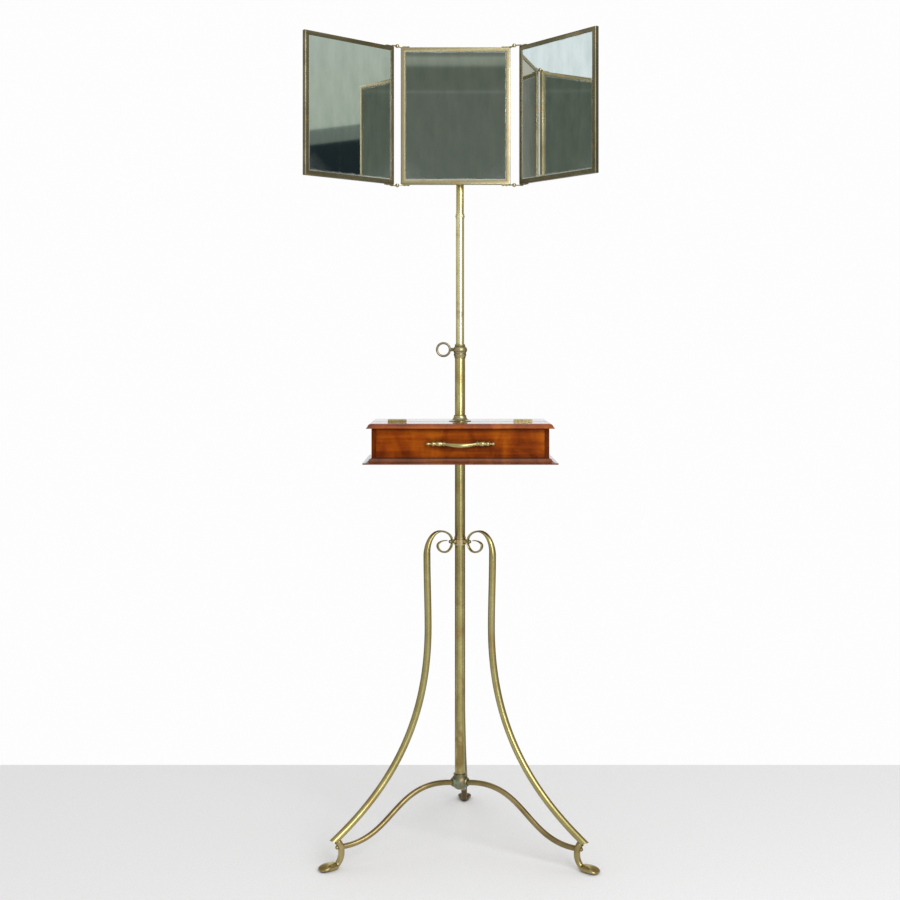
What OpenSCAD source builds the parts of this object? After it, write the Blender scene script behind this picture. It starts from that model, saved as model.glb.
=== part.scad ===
// Shaving mirror stand: a brass tripod with a telescopic pole, a small mahogany box
// with a lid and a drawer, and three hinged mirrors. Millimetres, +Z up, -Y is the front.
// The origin is on the floor, on the axis of the column.

/* [Column and pole] */
// Outer diameter of the column tube
column_d = 20; // [18:0.5:23]
// Wall of the column tube
column_wall = 1.5; // [1:0.1:1.8]
// Height of the column's top end
column_top_z = 960; // [935:5:990]
// Gap between the inner pole and the column, all round
pole_gap = 0.5; // [0.3:0.05:0.8]
// Wall of the inner pole
pole_wall = 1.5; // [1:0.1:2]
// Length of the pole that shows between the clamp and the ferrule
pole_out = 245; // [240:5:300]
// Length of the pole inside the column
pole_in = 318; // [250:2:330]

/* [Base] */
// Turn of the tripod about the column, degrees
tripod_turn = -1.3; // [-3:0.1:3]
// Extra turn of the rear leg, degrees
back_turn = -1.1; // [-2:0.1:1]
// Height of the hub's centre
hub_z = 124; // [116:1:130]
// Radius of the hub's ball
hub_r = 16.5; // [15:0.25:18]
// Diameter of the leg tube
leg_d = 13.5; // [12:0.25:15]
// Radius at which the leg tubes end
leg_end_r = 272; // [262:1:284]
// Height at which the leg tubes end
leg_end_z = 48.4; // [46:0.1:53]
// Slope of the leg at its lower end, degrees
leg_end_slope = 36.3; // [33:0.1:40]
// Radius of the leg at its waist
waist_r = 70.3; // [65:0.1:78]
// Height of the waist
waist_z = 430.5; // [415:0.5:450]
// Diameter of the stretchers
stretcher_d = 10.5; // [9:0.25:12]
// Height at which the stretchers meet the feet
stretcher_end_z = 39; // [37:0.2:42]
// Diameter of the foot's stem
stem_foot_d = 13; // [11.5:0.25:13.5]
// Radius of the stem's bend
foot_bend_r = 32; // [30:0.5:35]
// Diameter of the pad
pad_d = 30; // [27:0.5:33]
// Height of the pad
pad_h = 11.5; // [10:0.25:13]
// Radius of a toe
toe_r = 5.5; // [4.5:0.1:6.5]

/* [Scrolls] */
// Height of the collar that holds the scrolls
scroll_z = 592; // [580:1:600]
// Height of the collar
scroll_collar_h = 17; // [15:0.5:20]
// How far the collar stands out from the column
scroll_collar_out = 1.6; // [1.2:0.1:2.5]
// Thickness of the band
band_t = 3.8; // [3:0.1:4.6]
// Width of the band
band_w = 8.5; // [7.5:0.25:10]
// Rise of the arch's top above the collar's middle
arch_rise = 21.5; // [18:0.5:26]
// Radius of the arch's top from the column's axis
arch_r = 44; // [40:0.5:48]
// Drop of the curl's lowest point below the collar's middle
curl_drop = 19.4; // [17:0.2:22]
// Width of the curl
curl_w = 32; // [29:0.5:35]

/* [Clamp and thumbscrew] */
// Radius of the clamp's bulb
clamp_bulb_r = 14; // [13.2:0.1:15.5]
// Outer diameter of the thumbscrew's ring
ring_d = 29.5; // [26:0.5:33]
// Thickness of the ring
ring_wire = 4.4; // [3.6:0.1:5]
// Diameter of the screw's shank
thumb_shank_d = 5; // [4:0.25:6]

/* [Box] */
// Height of the underside of the box
box_z = 749.5; // [730:0.5:770]
// Width of the case
case_w = 334; // [310:1:360]
// Depth of the case
case_d = 200; // [185:1:215]
// Height of the case between its mouldings
case_h = 55.3; // [50:0.1:62]
// Thickness of the sides, the back and the divider
side_t = 8.5; // [7:0.25:10]
// Thickness of the base board
base_h = 11.2; // [10:0.1:13]
// How far the base moulding stands out
base_out = 16.25; // [13:0.25:18]
// Thickness of the top board
top_h = 9.5; // [8:0.1:11]
// How far the top moulding stands out
top_out = 9.5; // [8.5:0.25:12]
// Thickness of the drawer's front
front_t = 12; // [10:0.25:14]
// Depth of the well under the lid
well_depth = 16; // [13:0.25:19]
// Thickness of the well's floor
well_floor_t = 3; // [2.5:0.25:4]
// Thickness of the drawer's sides
drawer_side_t = 6; // [5:0.25:7]
// Gap round the drawer and under the lid
wood_gap = 0.4; // [0.3:0.05:0.6]
// Length of a lid hinge
lid_hinge_w = 35; // [30:0.5:40]
// Distance of the lid hinges from the middle
lid_hinge_x = 121.5; // [105:0.5:128]
// Diameter of the flange on the top
flange_d = 43; // [40:0.5:47]

/* [Handle] */
// Length of the handle over its finials
handle_l = 131; // [120:1:145]
// How far the grip bows out from the front
handle_out = 20; // [17:0.5:23]
// Height of the handle above the case's floor
handle_z = 27.2; // [25:0.1:30]
// Distance of the handle's posts from the middle
post_x = 41; // [39:0.5:43]

/* [Mirrors] */
// Width of a mirror panel
panel_w = 211.4; // [195:0.2:225]
// Height of a mirror panel
panel_h = 264.5; // [250:0.5:280]
// Depth of the panel's channel frame
panel_t = 9; // [8.5:0.1:11]
// Width of the frame's face
frame_face = 8.5; // [7.5:0.1:10]
// Wall of the channel
channel_t = 1.2; // [1:0.05:1.4]
// Thickness of the glass
glass_t = 4; // [3:0.1:4.2]
// Sideways place of the middle panel, from the pole's axis
head_x = -8.7; // [-9.5:0.1:-7.5]
// Gap between the left panel's edge and its pivot
left_gap = 6.6; // [6:0.1:8]
// Gap between the right panel's edge and its pivot
right_gap = 6.8; // [6:0.1:8]
// Rest angle of the left wing
left_angle = 42.4; // [30:0.2:60]
// Rest angle of the right wing
right_angle = 52.4; // [30:0.2:60]
// Thickness of a hinge strap
strap_t = 1.5; // [1.2:0.05:1.7]
// Length of a strap along the frame
strap_l = 17; // [15:0.5:22]
// Gap between the folded panels
fold_gap = 1.5; // [1.2:0.05:2]

/* [Tilt knuckle] */
// Height of the tilt screw above the ferrule
tilt_rise = 185.4; // [175:0.2:200]
// Distance from the pole's axis to the back of the bracket
stand_off = 22; // [20:0.25:26]
// Thickness of the bracket's ear and of the tongue
ear_t = 8; // [7:0.1:9]
// Radius of the ear
ear_r = 11; // [10:0.25:12]
// Diameter of the tilt screw
tilt_d = 6; // [5:0.1:7]

/* [Hidden] */
// Radial clearance of shafts that turn or slide
run = 0.05;
// Clearance between seated round pieces of one body
seat = 0.05;
// Clearance between pieces that move past each other
free = 0.3;
// A little more than nothing, so that a cut passes its surface
eps = 0.2;
fine = 64;

brass = "#b39a56";
dark_brass = "#8d7a45";
wood = "#a0541c";
dark_wood = "#6d3320";
pale_wood = "#b98a5a";
glass = "#6c776b";

column_r = column_d / 2;
column_bore_r = column_r - column_wall;
pole_r = column_bore_r - pole_gap;
pole_bore_r = pole_r - pole_wall;
stem_r = pole_r - 0.5;

clamp_foot_z = column_top_z - 12;
clamp_screw_z = column_top_z + 5;
clamp_top_z = column_top_z + 15.5;
ferrule_foot_z = clamp_top_z + pole_out;
ferrule_h = 9;
ferrule_r = pole_r + 1.3;
ferrule_top_z = ferrule_foot_z + ferrule_h;
pole_top_z = ferrule_foot_z + 5;
pole_foot_z = column_top_z - pole_in;

leg_turns = [210 + tripod_turn, 330 + tripod_turn, 90 + tripod_turn + back_turn];
leg_wall = 1.4;
leg_straight = 19;
// How far the leg's curve keeps the direction of its foot and of its waist
leg_foot_pull = 168;
leg_waist_pull = 167;
// The same for the stretcher, at the hub and at the foot, and how far it rises at the hub
stretcher_hub_pull = 131;
stretcher_foot_pull = 110;
stretcher_rise = 22;
boss_out = 1.6;
boss_r = stretcher_d / 2 + 3.8;
foot_nut_r = 3.6;
// Angle over which the foot's stem runs down, into the pad
foot_stem_down = 70;
foot_top_z = leg_end_z + 5.5;
foot_arc_z = 29.2;
foot_stem_r = leg_end_r - 19.3;
pad_r = leg_end_r + 10.5;
// The instep, where the stem spreads into the pad: half its length, width and height
instep = [11, 8, 11];
instep_r = leg_end_r;

scroll_collar_r = column_r + scroll_collar_out;
lug_r = column_r + 5.4;
band_r = lug_r + seat + band_t / 2;
arch_z = scroll_z + arch_rise;
shoulder_r = waist_r + 2.5;
shoulder_drop = 42.5;
curl_r = band_r + curl_w / 2;
curl_mid_z = scroll_z - 6;
scroll_head_r = 3.6;
// The bolt's head bears on the hollow of the band with its rim
scroll_head_gap = (arch_r - band_r) * (1 - cos(90 / 7)) / (arch_rise * sin(90 / 7)) * scroll_head_r;

case_floor_z = box_z + base_h;
case_top_z = case_floor_z + case_h;
box_top_z = case_top_z + top_h;
case_in_x = case_w / 2 - side_t;
front_y = -case_d / 2;
lid_line_y = -(flange_d / 2 + 4.5);
well_z = case_top_z - well_depth;
well_front_y = front_y + front_t + wood_gap;
well_front_t = 4;
drawer_x = case_in_x - wood_gap;
drawer_top_z = well_z - well_floor_t - 2 * wood_gap;
drawer_foot_z = case_floor_z + wood_gap;
drawer_back_y = lid_line_y - 2 * wood_gap;
drawer_bottom_t = 3;
drawer_back_t = 6;

knuckle_r = 2.5;
knuckle_z = box_top_z + knuckle_r + free;
leaf_t = 1.4;
leaf_l = 11;
lid_pin_r = 1.2;
lid_screw_y = 7;
lid_screw_r = 1.1;
lid_screw_l = 8;
flange_plate_t = 3;
flange_screw_r = 1.6;
flange_screw_l = 11;
// Radius of the circle on which the flange's screws stand
flange_screw_at = column_r + 13;

panel_foot_z = ferrule_top_z + tilt_rise - panel_h / 2;
bracket_t = 3;
bracket_w = 30;
bracket_z = panel_h - 8;
bracket_rivet_r = 1.5;
bracket_rivet_x = 9;
// Distance of the bracket's rivets from the panel's top and foot
bracket_rivet_in = 6.4;
panel_front_y = -(stand_off + bracket_t + panel_t);
tilt_z = ferrule_top_z + tilt_rise;
spigot_l = 18;
left_pivot = [head_x - panel_w / 2 - left_gap, panel_front_y - fold_gap / 2];
right_pivot = [head_x + panel_w / 2 + right_gap, panel_front_y - fold_gap - panel_t / 2];
strap_step = strap_t + 0.1;
strap_inset = 0.5;
eye_r = 3.8;
wing_pin_r = 1.5;
tongue_drop = 22;
ear_x = head_x + ear_t / 2;

// Points of a cubic curve from a to d, without a itself
function cubic(a, b, c, d, n) = [for (i = [1:n]) let (t = i / n, u = 1 - t)
    u * u * u * a + 3 * u * u * t * b + 3 * u * t * t * c + t * t * t * d];

// Points of an ellipse's arc, without the first one
function arc(c, rx, rz, from, to, n) = [for (i = [1:n]) let (q = from + (to - from) * i / n)
    c + [rx * cos(q), rz * sin(q)]];

// n copies of one half section
function same(half, n) = [for (i = [1:n]) half];

// n half sections that change evenly from a to b
function change(a, b, n) = [for (i = [1:n]) a + (b - a) * i / n];

// A bar swept along points of the XZ plane. half[i] is its half size in that plane and across it.
module swept(path, half, sides) {
    n = len(path);
    dir = [for (i = [0:n - 1]) let (d = path[min(i + 1, n - 1)] - path[max(i - 1, 0)]) d / norm(d)];
    verts = [for (i = [0:n - 1]) for (k = [0:sides - 1])
        let (a = half[i][0] * cos(360 * k / sides), b = half[i][1] * sin(360 * k / sides))
        [path[i][0] - dir[i][1] * a, b, path[i][1] + dir[i][0] * a]];
    skin = [for (i = [0:n - 2]) for (k = [0:sides - 1])
        let (k2 = (k + 1) % sides, p = i * sides + k, q = i * sides + k2)
        for (f = [[p, q, q + sides], [p, q + sides, p + sides]]) f];
    foot = [for (k = [sides - 1:-1:0]) k];
    head = [for (k = [0:sides - 1]) (n - 1) * sides + k];
    polyhedron(verts, concat(skin, [foot, head]));
}

// A cylinder along +X from x1 to x2
module x_bar(x1, x2, r) {
    translate([x1, 0, 0]) rotate([0, 90, 0]) cylinder(h = x2 - x1, r = r, $fn = fine);
}

// A dome-headed bolt along +X: its shank starts at x1 and its head at x2
module dome_bolt(x1, x2, shank_r, head_r) {
    translate([x1, 0, 0]) rotate([0, 90, 0]) rotate_extrude($fn = 32) {
        square([shank_r, x2 - x1 + 1]);
        translate([0, x2 - x1]) square([head_r, 1.6]);
        translate([0, x2 - x1 + 1.6]) intersection() {
            circle(r = head_r, $fn = 32);
            translate([0, -1]) square([head_r, head_r + 1]);
        }
    }
}

// A wood screw with a low round head, pointing down from z = 0
module wood_screw(shank_r, head_r, length) {
    rotate_extrude($fn = 24) {
        translate([0, -length]) square([shank_r, length + 0.4]);
        intersection() {
            translate([0, 1.3 - head_r * 1.2]) circle(r = head_r * 1.2, $fn = 48);
            square([head_r, 1.3]);
        }
    }
}

module column() {
    color(brass) difference() {
        translate([0, 0, hub_z - 5]) cylinder(h = column_top_z - hub_z + 5, r = column_r, $fn = fine);
        translate([0, 0, hub_z - 5 - eps])
            cylinder(h = column_top_z - hub_z + 5 + 2 * eps, r = column_bore_r, $fn = fine);
    }
}

// Cast ball with a socket boss for each stretcher and a blind socket for the column
module hub() {
    color(dark_brass) difference() {
        union() {
            translate([0, 0, hub_z]) sphere(r = hub_r, $fn = fine);
            translate([0, 0, hub_z]) cylinder(h = hub_r - 1.5, r = column_r + 2.6, $fn = fine);
            for (turn = leg_turns) rotate([0, 0, turn]) translate([0, 0, hub_z]) {
                x_bar(0, hub_r + boss_out - 2.4, boss_r);
                translate([hub_r + boss_out - 2.4, 0, 0]) rotate([0, 90, 0])
                    cylinder(h = 2.4, r1 = boss_r, r2 = boss_r - 1.8, $fn = fine);
            }
        }
        translate([0, 0, hub_z - 5]) cylinder(h = hub_r + 10, r = column_r + seat, $fn = fine);
        translate([-hub_r, -hub_r, hub_z - 2 * hub_r - 0.5]) cube([2 * hub_r, 2 * hub_r, hub_r]);
        for (turn = leg_turns) rotate([0, 0, turn]) translate([0, 0, hub_z])
            x_bar(column_r + 1.2, 2 * hub_r, stretcher_d / 2 + seat);
    }
}

// The leg's centre line in radius and height: up from the foot to the waist and the shoulder,
// over the arch, down past the collar and round the curl
leg_slope = [-cos(leg_end_slope), sin(leg_end_slope)];
leg_path = concat(
    [[leg_end_r, leg_end_z], [leg_end_r, leg_end_z] + leg_straight * leg_slope],
    cubic([leg_end_r, leg_end_z] + leg_straight * leg_slope,
        [leg_end_r, leg_end_z] + leg_foot_pull * leg_slope,
        [waist_r, waist_z - leg_waist_pull], [waist_r, waist_z], 20),
    cubic([waist_r, waist_z], [waist_r, waist_z + 45],
        [shoulder_r, arch_z - shoulder_drop - 45], [shoulder_r, arch_z - shoulder_drop], 5),
    arc([arch_r, arch_z - shoulder_drop], shoulder_r - arch_r, shoulder_drop, 0, 90, 9),
    arc([arch_r, scroll_z], arch_r - band_r, arch_rise, 90, 180, 7),
    arc([curl_r, scroll_z], curl_w / 2, curl_drop, 180, 270, 7),
    arc([curl_r, curl_mid_z], curl_w / 2, curl_mid_z - scroll_z + curl_drop, 270, 360, 7),
    arc([curl_r, curl_mid_z], curl_w / 2, 9, 0, 105, 6));
round_half = [leg_d / 2, leg_d / 2];
band_half = [band_t / 2, band_w / 2];
leg_half = concat(same(round_half, 27), change(round_half, band_half + [0.3, 0.3], 9),
    same(band_half, 21), change(band_half, [0.9, band_half[1] - 0.8], 6));

module leg(turn) {
    color(brass) rotate([0, 0, turn]) difference() {
        swept(leg_path, leg_half, 16);
        translate([0, 0, scroll_z]) x_bar(column_r, arch_r - 15, 2 + seat);
        translate([leg_end_r, 0, leg_end_z]) rotate([0, leg_end_slope, 0])
            x_bar(-leg_straight, 5, leg_d / 2 - leg_wall);
    }
}

module leg_left() { leg(leg_turns[0]); }
module leg_right() { leg(leg_turns[1]); }
module leg_back() { leg(leg_turns[2]); }

// The foot stem's bend, as an arc whose middle is its innermost point
foot_bend_x = foot_stem_r + foot_bend_r;
stem_tilt = asin((stretcher_end_z - foot_arc_z) / foot_bend_r);
stretcher_end_r = foot_bend_x - foot_bend_r * cos(stem_tilt);
boss_mouth = [hub_r + boss_out + free, hub_z];
stretcher_path = concat([[column_r + 1.5, hub_z], boss_mouth],
    cubic(boss_mouth, [column_r + stretcher_hub_pull, hub_z + stretcher_rise],
        [stretcher_end_r - stretcher_foot_pull, stretcher_end_z],
        [stretcher_end_r - 6, stretcher_end_z], 22),
    [[stretcher_end_r, stretcher_end_z]]);

module stretcher(turn) {
    color(brass) rotate([0, 0, turn]) difference() {
        swept(stretcher_path, same([stretcher_d / 2, stretcher_d / 2], len(stretcher_path)), 12);
        foot_stem_solid(seat);
        translate([0, 0, stretcher_end_z]) x_bar(stretcher_end_r - 15, stretcher_end_r + 5, 2 + seat);
    }
}

module stretcher_left() { stretcher(leg_turns[0]); }
module stretcher_right() { stretcher(leg_turns[1]); }
module stretcher_back() { stretcher(leg_turns[2]); }

// The bent stem of a foot, grown all round by more. It ends inside the pad.
module foot_stem_solid(more) {
    up = asin((foot_top_z - foot_arc_z) / foot_bend_r);
    translate([foot_bend_x, 0, foot_arc_z]) rotate([90, 0, 0]) rotate([0, 0, 180 - up])
        rotate_extrude(angle = up + foot_stem_down, $fn = 96) translate([foot_bend_r, 0])
            circle(r = stem_foot_d / 2 + more, $fn = 48);
}

// Stem that hooks under the leg, on a domed pad with four toes
module foot(turn) {
    color(brass) rotate([0, 0, turn]) difference() {
        intersection() {
            union() {
                foot_stem_solid(0);
                translate([pad_r, 0, 0]) rotate_extrude($fn = fine) pad_outline();
                translate([instep_r, 0, 4]) scale(instep) sphere(r = 1, $fn = 48);
                for (a = [-63, -21, 21, 63]) translate([pad_r, 0, 3.4]) rotate([0, 0, a])
                    translate([pad_d / 2 - toe_r + 1.2, 0, 0]) sphere(r = toe_r, $fn = 32);
            }
            translate([pad_r - 3 * pad_d, -pad_d, 0]) cube([5 * pad_d, 2 * pad_d, leg_end_z + 50]);
        }
        translate([leg_end_r, 0, leg_end_z]) rotate([0, leg_end_slope, 0])
            x_bar(-40, 20, leg_d / 2 + seat);
        translate([0, 0, stretcher_end_z])
            x_bar(stretcher_end_r - stem_foot_d, stretcher_end_r + stem_foot_d, 2 + seat);
        translate([0, 0, stretcher_end_z])
            x_bar(stretcher_end_r + stem_foot_d / 2 - 0.8, stretcher_end_r + 30, foot_nut_r + 0.4);
    }
}

// Half outline of the pad: a dome on a low rim
module pad_outline() {
    r = pad_d / 2;
    polygon(concat([[0, 0], [r - 1.5, 0], [r, 2.2]],
        arc([2, 2.2], r - 2, pad_h - 2.2, 0, 90, 10), [[0, pad_h]]));
}

module foot_left() { foot(leg_turns[0]); }
module foot_right() { foot(leg_turns[1]); }
module foot_back() { foot(leg_turns[2]); }

// One bolt at each foot: its nut bears on the stem's outer side and its shank holds the stretcher
module foot_bolts() {
    color(dark_brass) for (turn = leg_turns) rotate([0, 0, turn]) translate([0, 0, stretcher_end_z])
        dome_bolt(stretcher_end_r - 14.5, stretcher_end_r + stem_foot_d / 2 - 0.8 + seat, 2, foot_nut_r);
}

// Ringed collar on the column, with a lug for each scroll
module scroll_collar() {
    h = scroll_collar_h;
    r = scroll_collar_r;
    color(dark_brass) difference() {
        union() {
            translate([0, 0, scroll_z - h / 2 + 1]) rotate_extrude($fn = fine) polygon([[0, 0], [r - 1.1, 0],
                [r - 0.2, 1.6], [r - 0.2, h * 0.42], [r + 0.6, h * 0.5], [r + 0.6, h * 0.64],
                [r - 0.5, h * 0.68], [r - 0.5, h * 0.74], [r, h * 0.78], [r, h * 0.86],
                [r - 0.8, h * 0.9], [r - 0.8, h], [0, h]]);
            for (turn = leg_turns) rotate([0, 0, turn]) translate([0, 0, scroll_z])
                x_bar(column_r + 0.8, lug_r, 4);
        }
        translate([0, 0, scroll_z - h]) cylinder(h = 2 * h, r = column_r + seat, $fn = fine);
        for (turn = leg_turns) rotate([0, 0, turn]) translate([0, 0, scroll_z])
            x_bar(column_r + 1, lug_r + 5, 2 + seat);
    }
}

module scroll_bolts() {
    color(dark_brass) for (turn = leg_turns) rotate([0, 0, turn]) translate([0, 0, scroll_z])
        dome_bolt(column_r + 1.3, lug_r + band_t + 3 * seat + scroll_head_gap, 2, scroll_head_r);
}

// Turned clamp: a cup over the column's end and a bulb that carries the thumbscrew
module clamp_collar() {
    base = clamp_foot_z;
    bulb_z = clamp_screw_z - base;
    top = clamp_top_z - base;
    color(brass) difference() {
        translate([0, 0, base]) rotate_extrude($fn = fine) polygon(concat(
            [[0, 0], [column_r + 0.6, 0], [column_r + 0.8, 1.8], [clamp_bulb_r - 1.6, 7.6],
            [clamp_bulb_r - 1.6, 8.6], [clamp_bulb_r - 2.4, 9.2], [clamp_bulb_r - 2.4, 9.8]],
            arc([clamp_bulb_r - 6.6, bulb_z - 0.4], 6.6, 6.9, -54, 66, 10),
            [[pole_r + 2.6, top - 3.4], [pole_r + 1.7, top - 2.6], [pole_r + 2.1, top - 1.6],
            [pole_r + 1.6, top], [0, top]]));
        translate([0, 0, base - eps])
            cylinder(h = column_top_z - base + eps, r = column_r + seat, $fn = fine);
        translate([0, 0, column_top_z - eps])
            cylinder(h = clamp_top_z - column_top_z + 2 * eps, r = pole_r + run, $fn = fine);
        translate([0, 0, clamp_screw_z]) x_bar(-clamp_bulb_r - 5, -pole_r + 1, thumb_shank_d / 2 + run);
    }
}

// Ring-headed clamp screw, along -X
module thumbscrew() {
    ring_r = (ring_d - ring_wire) / 2;
    neck_x = clamp_bulb_r + 0.3;
    ring_x = neck_x + 3.2 + ring_d / 2;
    color(brass) translate([0, 0, clamp_screw_z]) rotate([0, 0, 180]) {
        x_bar(pole_r + 0.2, neck_x + 1, thumb_shank_d / 2);
        translate([neck_x, 0, 0]) rotate([0, 90, 0]) rotate_extrude($fn = 48) polygon([[0, 0], [3, 0],
            [3.9, 0.9], [3.9, 2], [2.9, 3], [2.9, 5], [0, 5]]);
        translate([ring_x, 0, 0]) rotate([90, 0, 0]) rotate_extrude($fn = fine)
            translate([ring_r, 0]) circle(r = ring_wire / 2, $fn = 32);
    }
}

// Base board with its moulding on all four sides
module box_base() {
    x = case_w / 2;
    y = case_d / 2;
    color(dark_wood) difference() {
        translate([0, 0, box_z]) moulded(x, y, -y, base_section(), base_section(), base_h);
        translate([0, 0, box_z - eps]) cylinder(h = base_h + 2 * eps, r = column_r + 0.4, $fn = fine);
        for (a = [45:90:315]) rotate([0, 0, a]) translate([flange_screw_at, 0, box_z - eps])
            cylinder(h = flange_screw_l - flange_plate_t + eps + 0.4, r = flange_screw_r, $fn = 24);
    }
}

// Edge of the base moulding, from its foot up: how far out, and how high
function base_section() = concat([[base_out - 0.8, 0], [base_out, 0.8], [base_out, 2.6]],
    arc([base_out - 1, 11.4], 11.5, 8.8, -90, -173, 7), [[1.5, base_h - 0.8], [1.5, base_h]]);

// Edge of the top moulding, from its underside up
function top_section() = concat([[0, 0], [top_out - 0.6, 0], [top_out, 0.6], [top_out, 1.9]],
    [[top_out - 1.6, 3]], arc([1.6, 2.6], top_out - 3.8, top_h - 3, 12, 90, 7), [[1.6, top_h]]);

// A board with moulded edges. x and y_back, y_front are the case's faces; a straight front has no
// moulding. The mitres come from crossing the two sections.
module moulded(x, y_back, y_front, side, front, h) {
    far = 2 * x + 100;
    intersection() {
        rotate([90, 0, 0]) linear_extrude(height = far, center = true)
            polygon(concat([for (p = side) [x + p[0], p[1]]],
                [for (i = [len(side) - 1:-1:0]) [-x - side[i][0], side[i][1]]]));
        rotate([90, 0, 90]) linear_extrude(height = far, center = true)
            polygon(concat([for (p = side) [y_back + p[0], p[1]]],
                [for (i = [len(front) - 1:-1:0]) [y_front - front[i][0], front[i][1]]]));
    }
}

module box_side(x1) {
    color(wood) translate([x1, front_y, case_floor_z]) cube([side_t, case_d, case_h]);
}

module box_side_left() { box_side(-case_w / 2); }
module box_side_right() { box_side(case_w / 2 - side_t); }

module box_back() {
    color(wood) translate([-case_in_x, case_d / 2 - side_t, case_floor_z])
        cube([2 * case_in_x, side_t, case_h]);
}

// Board in front of the column, under the joint of the top
module box_divider() {
    color(pale_wood) translate([-case_in_x, lid_line_y, case_floor_z])
        cube([2 * case_in_x, side_t, case_h]);
}

module well_floor() {
    color(pale_wood) translate([-case_in_x, well_front_y, well_z - well_floor_t])
        cube([2 * case_in_x, lid_line_y - well_front_y, well_floor_t]);
}

module well_front() {
    color(pale_wood) translate([-case_in_x, well_front_y, well_z])
        cube([2 * case_in_x, well_front_t, well_depth]);
}

// Rear part of the top, with the hole for the column and its front edge square at the joint
module box_top_rear() {
    color(wood) difference() {
        translate([0, 0, case_top_z]) moulded(case_w / 2, case_d / 2, lid_line_y + free,
            top_section(), [[0, 0], [0, top_h]], top_h);
        translate([0, 0, case_top_z - eps]) cylinder(h = top_h + 2 * eps, r = column_r + 0.4, $fn = fine);
        lid_hinge_holes(1);
    }
}

// Front part of the top, which lifts
module lid() {
    color(wood) difference() {
        translate([0, 0, case_top_z]) intersection() {
            rotate([180, 0, 0]) mirror([0, 0, 1]) moulded(case_w / 2, case_d / 2, -lid_line_y + free,
                top_section(), [[0, 0], [0, top_h]], top_h);
            translate([-case_w, -case_d, wood_gap]) cube([2 * case_w, 2 * case_d, top_h]);
        }
        lid_hinge_holes(-1);
    }
}

// Screw holes of the lid hinges, behind the joint (side = 1) or in front of it (side = -1)
module lid_hinge_holes(side) {
    for (x = [-lid_hinge_x, lid_hinge_x], i = [-1:1])
        translate([x + i * lid_hinge_w * 0.36, lid_line_y + side * lid_screw_y, box_top_z - lid_screw_l])
            cylinder(h = lid_screw_l + 1, r = lid_screw_r + seat, $fn = 24);
}

// One leaf of each lid hinge, with its share of the knuckles
module lid_leaves(side, knuckles) {
    step = lid_hinge_w / 5;
    for (x = [-lid_hinge_x, lid_hinge_x]) translate([x - lid_hinge_w / 2, lid_line_y, 0]) {
        difference() {
            union() {
                translate([0, side > 0 ? knuckle_r + free : -leaf_l, box_top_z])
                    cube([lid_hinge_w, leaf_l - knuckle_r - free, leaf_t]);
                for (k = knuckles) translate([k * step + 0.15, 0, 0]) {
                    translate([0, 0, knuckle_z]) x_bar(0, step - 0.3, knuckle_r);
                    translate([0, side > 0 ? 0 : -knuckle_r - 1, box_top_z + free])
                        cube([step - 0.3, knuckle_r + 1, leaf_t - free]);
                }
            }
            translate([-eps, 0, knuckle_z]) x_bar(0, lid_hinge_w + 2 * eps, lid_pin_r + run);
            for (i = [-1:1]) translate([lid_hinge_w * (0.5 + i * 0.36), side * lid_screw_y, box_top_z - eps])
                cylinder(h = leaf_t + 2 * eps, r = lid_screw_r + seat, $fn = 24);
        }
    }
}

module lid_hinge_plates() {
    color(brass) {
        lid_leaves(1, [0, 2, 4]);
        for (x = [-lid_hinge_x, lid_hinge_x]) translate([x, lid_line_y, knuckle_z])
            x_bar(-lid_hinge_w / 2 - 0.8, lid_hinge_w / 2 + 0.8, lid_pin_r);
    }
}

module lid_hinge_leaves() { color(brass) lid_leaves(-1, [1, 3]); }

module lid_screw_row(side) {
    for (x = [-lid_hinge_x, lid_hinge_x], i = [-1:1])
        translate([x + i * lid_hinge_w * 0.36, lid_line_y + side * lid_screw_y, box_top_z + leaf_t])
            wood_screw(lid_screw_r, 2.1, lid_screw_l);
}

module lid_screws() { color(dark_brass) lid_screw_row(-1); }

// Screws of the lid hinges' fixed leaves, and of the flange under the box
module stand_screws() {
    color(dark_brass) {
        lid_screw_row(1);
        for (a = [45:90:315]) rotate([0, 0, a]) translate([flange_screw_at, 0, box_z - flange_plate_t])
            rotate([180, 0, 0]) wood_screw(flange_screw_r, 3, flange_screw_l);
    }
}

// Flared ring where the column leaves the top
module top_flange() {
    r = flange_d / 2;
    color(brass) difference() {
        translate([0, 0, box_top_z]) rotate_extrude($fn = fine) polygon(concat(
            [[0, 0], [r, 0], [r, 1]], arc([r - 1, 11.6], r - column_r - 3, 10.2, -90, -172, 8),
            [[column_r + 2, 10.6], [column_r + 2.3, 11.2], [column_r + 1.6, 12], [0, 12]]));
        translate([0, 0, box_top_z - eps]) cylinder(h = 14, r = column_r + seat, $fn = fine);
    }
}

// Plate with a socket under the box, which carries it
module bottom_flange() {
    color(dark_brass) difference() {
        translate([0, 0, box_z]) rotate_extrude($fn = fine) polygon([[0, -7], [column_r + 3, -7],
            [column_r + 4, -flange_plate_t], [column_r + 18, -flange_plate_t],
            [column_r + 18.5, 0.5 - flange_plate_t], [column_r + 18.5, 0], [0, 0]]);
        translate([0, 0, box_z - 10]) cylinder(h = 14, r = column_r + seat, $fn = fine);
        for (a = [45:90:315]) rotate([0, 0, a]) translate([flange_screw_at, 0, box_z - flange_plate_t - 1])
            cylinder(h = flange_plate_t + 3, r = flange_screw_r + seat, $fn = 24);
    }
}

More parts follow.
